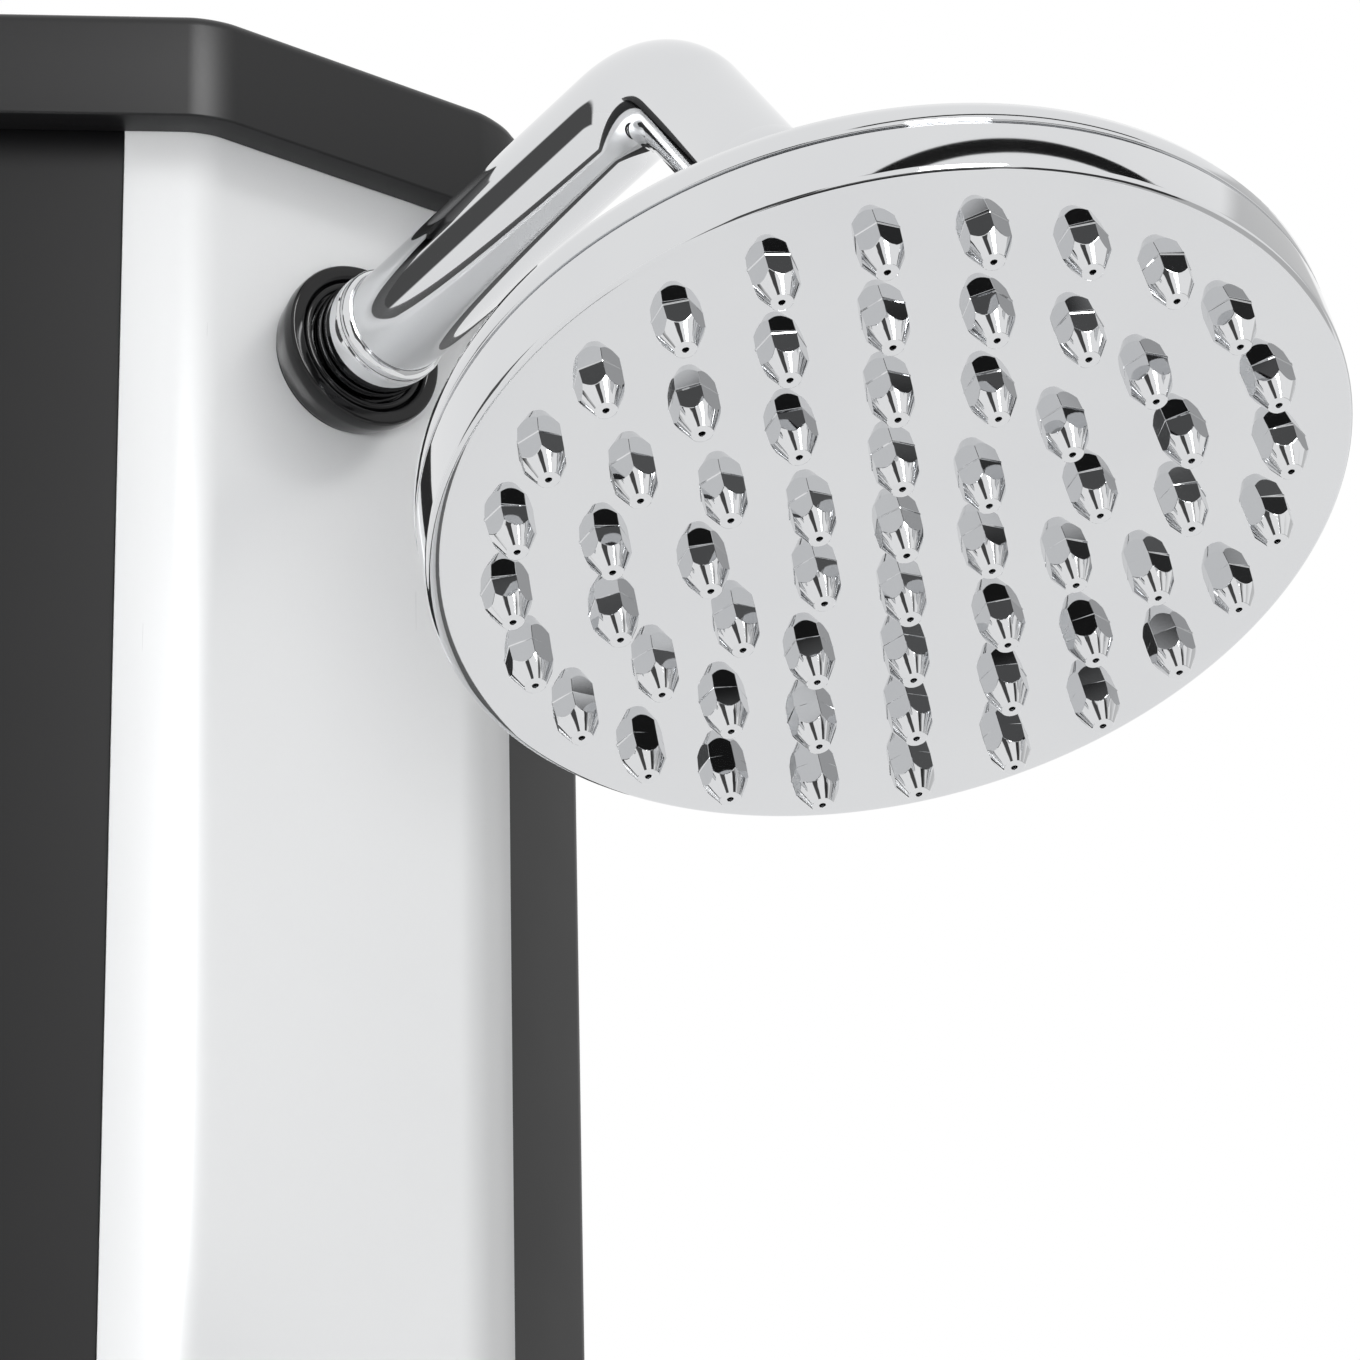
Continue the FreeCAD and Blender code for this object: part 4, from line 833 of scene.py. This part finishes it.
@dataclass
class Column:
    """The black tank, the folded aluminium front and the top cap."""

    front_width: float = 60.0
    bend: float = 32.0
    width: float = 148.0
    depth: float = 127.0
    rear_bevel: float = 26.0
    fold_radius: float = 14.0
    corner_radius: float = 8.0
    low: float = 8.0
    tank_high: float = 2167.0
    sheet: float = 1.2
    flange: float = 14.4
    sheet_high: float = 2163.0
    cap_offset: float = 7.7
    cap_low: float = 2147.2
    cap_high: float = 2170.0
    cap_lip: float = 6.2
    cap_top: float = 3.0
    cap_fold: float = 18.0
    cap_edge: float = 3.0

    def section(self, offset: float) -> list[tuple[float, float]]:
        """Corners of the column's section.

        Args:
            offset: how far the section is moved outwards.

        Returns:
            Eight corners, from the front's right fold round.
        """
        bend = math.radians(self.bend)
        half_front = self.front_width / 2 + offset * math.tan(bend / 2)
        half_width = self.width / 2 + offset
        front = -self.depth / 2 - offset
        shoulder = front + (half_width - half_front) * math.tan(bend)
        bevel = self.rear_bevel - offset * math.tan(math.pi / 8)
        right = [(half_front, front), (half_width, shoulder), (half_width, self.depth / 2 - bevel),
                 (self.width / 2 - bevel, self.depth / 2 + offset)]
        return right + [(-x, y) for x, y in reversed(right)]

    @staticmethod
    def upright(corners: Profile) -> Test:
        """Returns a test for the upright edges at some corners."""
        def test(start: Vector, end: Vector) -> bool:
            """True for an upright edge at one of the corners."""
            upright = math.dist(start.xy, end.xy) < NEAR
            return upright and any(math.dist(start.xy, corner) < NEAR for corner in corners)
        return test

    def round_corners(self, piece: Piece, corners: Profile, fold: float, corner: float,
                      segments: int) -> None:
        """Rounds the upright corners of a prism that was raised from the section.

        Args:
            piece: the prism.
            corners: the section's corners.
            fold: radius of the two folds at the front.
            corner: radius of the other corners.
            segments: how many faces each rounding has.
        """
        groups = (([corners[0], corners[-1]], fold, self.bend),
                  ([corners[1], corners[-2]], corner, 90.0 - self.bend),
                  (corners[2:-2], corner, 45.0))
        for places, radius, turn in groups:
            width = radius * math.tan(math.radians(turn / 2))
            Bench.round_edges(piece, self.upright(places), width, segments)

    def tank(self) -> None:
        """Raises the tank's section and rounds its corners."""
        corners = self.section(0.0)
        tank = Bench.prism("tank_body", corners, self.low, self.tank_high)
        self.round_corners(tank, corners, self.fold_radius, self.corner_radius, segments=8)
        Bench.soften(tank)
        dress(tank, "column", Slot.TANK, "tank_shell")

    def front(self) -> None:
        """Folds the aluminium sheet round the tank's front facets."""
        bend = math.radians(self.bend)
        fold_x, fold_y = self.section(0.0)[0]
        edge = (fold_x + self.flange * math.cos(bend), fold_y + self.flange * math.sin(bend))
        right = [edge, (fold_x, fold_y)]
        points = [(x, y, self.low) for x, y in right + [(-x, y) for x, y in reversed(right)]]
        sheet = Bench.chain("folded_front", points)
        bpy.ops.mesh.select_all(action="SELECT")
        Bench.extrude((0, 0, self.sheet_high - self.low))
        Bench.close()
        folds = [(fold_x, fold_y), (-fold_x, fold_y)]
        Bench.round_edges(sheet, self.upright(folds), self.fold_radius * math.tan(bend / 2), segments=12)
        Bench.thicken(sheet, self.sheet, outwards=sheet.data.polygons[0].normal.y < 0)
        Bench.edit()
        Bench.tidy()
        Bench.soften(sheet, width=0.3, segments=2, angle=50.0)
        dress(sheet, "column", Slot.ALUMINIUM, "aluminium_front")

    def cap(self) -> None:
        """Raises the cap, rounds its folds and top edge, and hollows it inside the lip round the column."""
        corners = self.section(self.cap_offset)
        cap = Bench.prism("lid", corners, self.cap_low, self.cap_high)
        self.round_corners(cap, corners, self.cap_fold, self.cap_fold, segments=12)
        top = self.cap_high - NEAR
        Bench.round_edges(cap, lambda start, end: min(start.z, end.z) > top, self.cap_edge, segments=5)
        Bench.pick(cap, lambda centre, normal: normal.z < -LEVEL, "FACE")
        bpy.ops.mesh.inset(thickness=self.cap_lip * MM)
        Bench.extrude((0, 0, self.cap_high - self.cap_low - self.cap_top))
        Bench.close()
        Bench.soften(cap, width=0.5, segments=3, angle=50.0)
        dress(cap, "column", Slot.CAP, "top_cap")

    def build(self) -> None:
        """Builds the pieces of the column."""
        self.tank()
        self.front()
        self.cap()


@dataclass
class LeverMixer:
    """The lever mixer's trim: the domed plate on the column and the grip on the lever."""

    height: float = 1050.0
    plate_radius: float = 27.0
    neck: float = 12.3
    pivot: float = 30.0
    lever_turn: float = 125.0
    grip_start: float = 81.3
    grip_radius: float = 6.2
    grip_length: float = 14.0
    groove: float = 0.3

    def plate(self) -> None:
        """Turns the plate, which swells from a thin edge to the neck."""
        edge = self.plate_radius
        plate = Bench.lathe("mixer_rose", [
            (self.neck, 1.0), (edge, 1.0), (edge, 1.8), (edge - 0.4, 2.8), (edge - 1.6, 4.0),
            (edge - 3.6, 5.0), (edge - 6.4, 5.6), (edge - 10.0, 5.9), (self.neck + 0.5, 6.0),
            (self.neck, 5.6)], steps=128)
        Bench.soften(plate, width=0.15, segments=2, angle=50.0, smooth=40.0)
        dress(on_front(plate, self.height), "column", Slot.CHROME, "mixer_plate")

    def grip(self) -> None:
        """Turns the lever's grip, with three grooves and a rounded end."""
        edge = self.grip_radius
        waist = edge - self.groove
        end = self.grip_length
        outline = [(0.0, 0.0), (edge - 1.0, 0.0), (edge, 2.0)]
        for low in (3.6, 6.2, 8.8):
            outline += [(edge, low), (waist, low + 0.3), (waist, low + 0.9), (edge, low + 1.2)]
        outline += [(edge, end - 3.2), (edge - 0.6, end - 1.4), (edge - 2.0, end - 0.3), (edge - 4.0, end),
                    (0.0, end)]
        profile = [(radius, self.grip_start + rise) for radius, rise in outline]
        grip = Bench.lathe("lever_grip", profile, steps=64)
        Bench.soften(grip, width=0.12, segments=2, angle=30.0, smooth=35.0)
        pin = (0.0, FRONT_FACE - self.pivot, self.height)
        dress(Bench.stand(grip, pin, self.lever_turn), "mixer_lever", Slot.FITTING, "lever_tip")

    def build(self) -> None:
        """Builds the mixer's trim."""
        self.plate()
        self.grip()


@dataclass
class FootTap:
    """The foot tap's trim: the domed flange, the fluted aerator and the winged knob."""

    height: float = 320.0
    tail: float = 8.3
    flange_radius: float = 17.0
    spout_y: float = -93.7
    spout_drop: float = 24.0
    aerator_radius: float = 9.0
    knob_start: float = 45.6
    knob_length: float = 16.0
    knob_radius: float = 13.0
    wing: Triple = (34.0, 9.0, 10.0)
    wing_end: float = 4.2

    def flange(self) -> None:
        """Turns the flange, which swells from a thin edge to the body."""
        edge = self.flange_radius
        flange = Bench.lathe("tap_rose", [
            (self.tail, 1.0), (edge, 1.0), (edge, 1.6), (edge - 0.5, 2.5), (edge - 1.8, 3.5),
            (edge - 3.6, 4.4), (edge - 5.4, 4.9), (self.tail, 5.0)], steps=96)
        Bench.soften(flange, width=0.12, segments=2, angle=50.0, smooth=40.0)
        dress(on_front(flange, self.height), "column", Slot.CHROME, "foot_flange")

    def aerator(self) -> None:
        """Turns the aerator with its sunk outlet and presses flutes into its band."""
        edge = self.aerator_radius
        band = edge - 0.3
        aerator = Bench.lathe("tap_aerator", [
            (0.0, -11.0), (6.4, -11.0), (6.8, -12.0), (8.0, -12.0), (edge, -11.0), (edge, -9.6),
            (band, -9.3), (band, -2.7), (edge, -2.4), (edge, -0.6), (edge - 0.5, 0.0), (0.0, 0.0)], steps=36)
        Bench.flute(aerator, low=-9.3, high=-2.7, reach=band - 0.5, margin=0.25, depth=0.35)
        Bench.soften(aerator, width=0.1, segments=2, angle=25.0, smooth=30.0)
        outlet = (0.0, self.spout_y, self.height - self.spout_drop)
        dress(Bench.stand(aerator, outlet), "column", Slot.CHROME, "foot_spout")

    def knob(self) -> None:
        """Turns the knob with its dished face and adds the wing that a toe pushes."""
        edge = self.knob_radius
        start = self.knob_start
        end = start + self.knob_length
        knob = Bench.lathe("tap_knob", [
            (0.0, start), (edge - 0.6, start), (edge, start + 0.6), (edge, end - 3.4),
            (edge - 0.4, end - 2.0), (edge - 1.4, end - 0.8), (edge - 3.0, end - 0.1), (edge - 4.0, end),
            (edge - 4.6, end - 0.2), (edge - 6.4, end - 0.9), (0.0, end - 1.2)], steps=96)
        tip = self.wing[0]
        wing = Bench.block("knob_wing", self.wing, (tip / 2, 0.0, start + self.knob_length / 2))
        Bench.round_edges(wing, lambda one, two: min(one.x, two.x) > tip - NEAR
                          and abs(one.y - two.y) < NEAR, self.wing_end, segments=8)
        Bench.soften(wing, width=1.0, segments=4, angle=50.0)
        Bench.combine(knob, wing, Join.ADD)
        Bench.soften(knob, smooth=32.0)
        dress(on_front(knob, self.height), "foot_valve", Slot.CHROME, "foot_knob")

    def build(self) -> None:
        """Builds the foot tap's trim."""
        self.flange()
        self.aerator()
        self.knob()


@dataclass
class RearFittings:
    """The hose plug and the drain plug on the column's back."""

    inlet_height: float = 150.0
    plug_bore: float = 6.0
    plug_root: float = 10.5
    plug_nose: float = 8.6
    plug_neck: float = 7.3
    drain_height: float = 88.0
    drain_radius: float = 13.0
    drain_thread: float = 8.0
    drain_proud: float = 10.0
    coin_slot: Triple = (18.0, 2.6, 4.0)

    def hose_plug(self) -> None:
        """Turns the plug that a garden hose snaps on to, with a fluted root and a sealing groove."""
        bore, root, nose, neck = self.plug_bore, self.plug_root, self.plug_nose, self.plug_neck
        plug = Bench.lathe("hose_nose", [
            (bore, 7.0), (root, 7.0), (root, 7.8), (root, 13.2), (root, 14.0), (nose, 14.0), (nose, 16.6),
            (neck, 17.9), (neck, 21.8), (nose, 23.1), (nose, 33.1), (neck, 37.0), (bore, 37.0)], steps=40)
        Bench.flute(plug, low=7.8, high=13.2, reach=nose + 0.5, margin=0.3, depth=0.5)
        Bench.soften(plug, width=0.2, segments=2, angle=25.0, smooth=30.0)
        dress(on_back(plug, self.inlet_height), "column", Slot.FITTING, "hose_plug")

    def drain_plug(self) -> None:
        """Turns the drain plug, presses grip flutes into its head and cuts a coin slot across it."""
        edge, thread, top = self.drain_radius, self.drain_thread, self.drain_proud
        plug = Bench.lathe("drain_screw", [
            (0.0, -9.0), (thread, -9.0), (thread, 1.0), (edge - 0.4, 1.0), (edge, 1.4), (edge, 8.2),
            (edge - 0.3, 9.2), (edge - 1.1, 9.8), (edge - 2.1, top), (0.0, top)], steps=32)
        Bench.flute(plug, low=1.4, high=8.2, reach=edge - 1.0, margin=0.45, depth=0.6)
        Bench.combine(plug, Bench.block("coin_slot", self.coin_slot, (0.0, 0.0, top)), Join.CUT)
        Bench.soften(plug, width=0.2, segments=2, angle=25.0, smooth=30.0)
        dress(on_back(plug, self.drain_height), "column", Slot.FITTING, "drain_plug")

    def build(self) -> None:
        """Builds the two plugs."""
        self.hose_plug()
        self.drain_plug()


@dataclass
class SocketScrews:
    """The button-head screws that hold the column in the floor plate's socket."""

    face: float = 79.5
    spread: float = 24.0
    height: float = 28.0
    head: float = 4.0
    proud: float = 2.6
    shank: float = 2.0
    length: float = 11.0
    key: float = 1.45
    key_floor: float = 1.0

    def screw(self) -> Piece:
        """Turns one screw and sinks a hexagonal key hole into its head.

        Returns:
            The screw, with its head upwards and its seat at the origin.
        """
        head, shank, end = self.head, self.shank, -self.length
        screw = Bench.lathe("button_screws", [
            (0.0, end), (shank, end), (shank, 0.0), (head, 0.0), (head, 0.8), (head - 0.2, 1.5),
            (head - 0.8, 2.1), (head - 1.7, 2.5), (0.0, self.proud)], steps=48)
        hole = Bench.polygon("key_hole", corners=6, radius=self.key, height=self.key_floor, turn=0.0)
        Bench.extrude((0, 0, self.proud))
        Bench.tidy()
        Bench.combine(screw, hole, Join.CUT)
        return Bench.soften(screw, width=0.08, segments=2, angle=40.0, smooth=35.0)

    def build(self) -> None:
        """Copies the screw to its four places, two on each side of the socket."""
        first = self.screw()
        places = [(side, depth) for side in (1, -1) for depth in (self.spread, -self.spread)]
        made = [first] + [Bench.copy(first) for _ in places[1:]]
        for piece, (side, depth) in zip(made, places):
            Bench.stand(piece, (self.face * side, depth, self.height), TO_FRONT, 90.0 * side)
        dress(Bench.join(made), "column", Slot.STEEL, "base_screws")


@dataclass(frozen=True)
class Lamp:
    """A soft lamp that hangs in a direction from the head and points at it. Its lengths are in metres."""

    name: str
    direction: Triple
    away: float
    size: tuple[float, float]
    watts: float
    mirrored: bool
    spread: float = 180.0

    def build(self, head: Vector) -> None:
        """Hangs the lamp, for the highlights alone if it is mirrored and else for the plain light alone.

        Args:
            head: the point that it aims at, in metres.
        """
        place = head + self.away * Vector(self.direction)
        bpy.ops.object.light_add(type="AREA", location=place)
        lamp = Bench.added(self.name)
        lamp.data.shape = "RECTANGLE"
        lamp.data.size, lamp.data.size_y = self.size
        lamp.data.energy = self.watts
        lamp.data.spread = math.radians(self.spread)
        lamp.rotation_euler = (head - place).to_track_quat("-Z", "Y").to_euler()
        lamp.visible_glossy = self.mirrored
        lamp.visible_diffuse = not self.mirrored


LAMPS = (
    Lamp("softbox", direction=(-0.21, -0.881, 0.423), away=3.0, size=(0.9, 2.4), watts=78.0, mirrored=True),
    Lamp("low_light", direction=(-0.53, -0.7, -0.48), away=3.2, size=(1.6, 1.6), watts=22.0, mirrored=False,
         spread=75.0),
)


@dataclass(frozen=True)
class Card:
    """A grey soft-edged card that stands for a part of the room, and that only mirrors show.

    Its azimuth, from +X towards +Y, its elevation and its width and height are degrees seen from the head.
    Its distance from the head is in metres, and its fade starts at a share of its half width and height.
    """

    name: str
    azimuth: float
    elevation: float
    spread: tuple[float, float]
    colour: str
    away: float = 1.5
    fade_start: float = 0.82

    def build(self, head: Vector) -> None:
        """Stands the card in the room.

        Args:
            head: the point that it faces, in metres.
        """
        turn = math.radians(self.azimuth)
        lift = math.radians(self.elevation)
        look = Vector((math.cos(turn) * math.cos(lift), math.sin(turn) * math.cos(lift), math.sin(lift)))
        Bench.clear()
        bpy.ops.mesh.primitive_plane_add(size=2.0)
        card = Bench.added(self.name)
        card.scale = [self.away * math.tan(math.radians(angle / 2)) for angle in self.spread] + [1.0]
        card.location = head + self.away * look
        card.rotation_euler = (-look).to_track_quat("Z", "Y").to_euler()
        card.data.materials.append(self.cloth())
        card.visible_camera = False
        card.visible_diffuse = False
        card.visible_shadow = False
        card.visible_transmission = False

    def cloth(self) -> bpy.types.Material:
        """Returns the card's material, which glows evenly and fades out towards the edges."""
        cloth = bpy.data.materials.new(self.name + "_cloth")
        cloth.use_nodes = True
        tree = cloth.node_tree
        place = add_node(tree, "TexCoord").outputs["Object"]
        from_middle = add_node(tree, "VectorMath", {"operation": "ABSOLUTE"}, {0: place})
        sides = add_node(tree, "SeparateXYZ", None, {0: from_middle.outputs[0]})
        reach = add_node(tree, "Math", {"operation": "MAXIMUM"}, {0: sides.outputs[0], 1: sides.outputs[1]})
        fade = {"interpolation_type": "SMOOTHSTEP", "From Min": 1.0, "From Max": self.fade_start}
        cover = add_node(tree, "MapRange", fade, {"Value": reach.outputs[0]})
        glow = add_node(tree, "Emission", {"Color": linear(self.colour), "Strength": 1.0})
        clear = add_node(tree, "BsdfTransparent")
        mix = add_node(tree, "MixShader", None,
                       {0: cover.outputs[0], 1: clear.outputs[0], 2: glow.outputs[0]})
        tree.links.new(mix.outputs[0], tree.nodes["Material Output"].inputs["Surface"])
        return cloth


CARDS = (
    Card("front_card", azimuth=249.0, elevation=-18.0, spread=(88.0, 24.0), colour="626262"),
    Card("left_card", azimuth=219.0, elevation=-1.0, spread=(22.0, 24.0), colour="4c4c4c", away=1.6),
    Card("right_card", azimuth=287.0, elevation=-8.0, spread=(38.0, 27.0), colour="383838", away=1.3),
    Card("low_card", azimuth=291.0, elevation=-21.0, spread=(28.0, 15.0), colour="6a6a6a", away=1.4),
    Card("grey_card", azimuth=326.0, elevation=-18.0, spread=(50.0, 60.0), colour="c6c6c6", away=1.8),
    Card("high_card", azimuth=275.0, elevation=57.0, spread=(60.0, 4.0), colour="202020"),
    Card("under_card", azimuth=249.0, elevation=-33.0, spread=(41.0, 19.0), colour="202020", away=0.98),
    Card("side_card", azimuth=4.0, elevation=27.0, spread=(44.0, 40.0), colour="d2d2d2"),
    Card("rear_card", azimuth=140.5, elevation=4.0, spread=(20.0, 35.0), colour="545454"),
)


@dataclass
class Studio:
    """A pale floor under a white surround, two soft lamps, and grey cards for the room round the camera."""

    head: Triple = (0.0, -0.2, 2.03)
    floor_half: float = 40.0
    floor_colour: str = "f0f0f0"
    floor_roughness: float = 0.9
    floor_glow: float = 0.62
    fill: float = 0.4

    @staticmethod
    def seen_directly(tree: bpy.types.NodeTree) -> bpy.types.NodeSocket:
        """Adds the test for a ray from the camera, off a mirror or through glass.

        Args:
            tree: the node tree that gets it.

        Returns:
            A socket that is 1 for such a ray and otherwise 0.
        """
        path = add_node(tree, "LightPath").outputs
        seen = path["Is Camera Ray"]
        for ray in ("Is Glossy Ray", "Is Transmission Ray"):
            seen = add_node(tree, "Math", {"operation": "MAXIMUM"}, {0: seen, 1: path[ray]}).outputs[0]
        return seen

    def floor(self) -> None:
        """Lays the floor, whose colour is lifted to the surround's white and still takes a shadow."""
        Bench.clear()
        bpy.ops.mesh.primitive_plane_add(size=self.floor_half * 2, location=(0, 0, 0))
        floor = Bench.added("floor")
        paper = bpy.data.materials.new("pale_paper")
        paper.use_nodes = True
        tree = paper.node_tree
        shader = tree.nodes["Principled BSDF"]
        shader.inputs["Roughness"].default_value = self.floor_roughness
        shader.inputs["Base Color"].default_value = linear(self.floor_colour)
        shader.inputs["Emission Color"].default_value = (1, 1, 1, 1)
        glow = add_node(tree, "MapRange", {"To Min": 0.0, "To Max": self.floor_glow},
                        {"Value": self.seen_directly(tree)})
        tree.links.new(glow.outputs[0], shader.inputs["Emission Strength"])
        floor.data.materials.append(paper)

    def surround(self) -> None:
        """Makes the surround white to the camera and to mirrors, and a soft fill to everything else."""
        world = bpy.data.worlds.new("white_surround")
        bpy.context.scene.world = world
        world.use_nodes = True
        tree = world.node_tree
        shader = tree.nodes["Background"]
        level = add_node(tree, "MapRange", {"To Min": self.fill, "To Max": 1.0},
                         {"Value": self.seen_directly(tree)})
        shader.inputs["Color"].default_value = (1, 1, 1, 1)
        tree.links.new(level.outputs[0], shader.inputs["Strength"])

    def build(self) -> None:
        """Sets up the floor, the surround, the lamps and the cards."""
        self.floor()
        self.surround()
        for fixture in LAMPS + CARDS:
            fixture.build(Vector(self.head))


@dataclass
class PhotoCamera:
    """The camera, low at the shower's left front, looking up at the head."""

    place: Triple = (-528.0, -884.1, 1557.6)
    azimuth: float = -36.43
    pitch: float = 26.39
    roll: float = -1.37
    lens: float = 158.8
    sensor: float = 36.0

    def build(self) -> None:
        """Sets the camera up and makes it the scene's."""
        turn, lift, lean = (math.radians(angle) for angle in (self.azimuth, self.pitch, self.roll))
        forward = Vector((-math.sin(turn) * math.cos(lift), math.cos(turn) * math.cos(lift),
                          math.sin(lift)))
        right = Vector((math.cos(turn), math.sin(turn), 0.0))
        up = right.cross(forward)
        level = right * math.cos(lean) + up * math.sin(lean)
        plumb = up * math.cos(lean) - right * math.sin(lean)
        data = bpy.data.cameras.new("photo_camera")
        data.lens = self.lens
        data.sensor_width = self.sensor
        camera = bpy.data.objects.new("photo_camera", data)
        bpy.context.scene.collection.objects.link(camera)
        axes = Matrix((level, plumb, -forward)).transposed().to_4x4()
        camera.matrix_world = Matrix.Translation(Vector(self.place) * MM) @ axes
        bpy.context.scene.camera = camera


def dress_nodes() -> None:
    """Gives every CAD node the finish of its slot."""
    slots = {part["node"]: Slot(part["material_slot"]) for part in frame["record"]["subparts"]}
    for name, node in frame["nodes"].items():
        finish = FINISHES[slots[name]].material()
        for holder in node.material_slots:
            holder.material = finish


def main() -> None:
    """Builds the shower's pieces, the studio and the camera."""
    logging.basicConfig(level=logging.INFO)
    bpy.context.scene.view_settings.view_transform = "Standard"
    dress_nodes()
    SprayHead().build()
    ShowerArm().build()
    Column().build()
    LeverMixer().build()
    FootTap().build()
    RearFittings().build()
    SocketScrews().build()
    Studio().build()
    PhotoCamera().build()


if __name__ == "__main__":
    main()
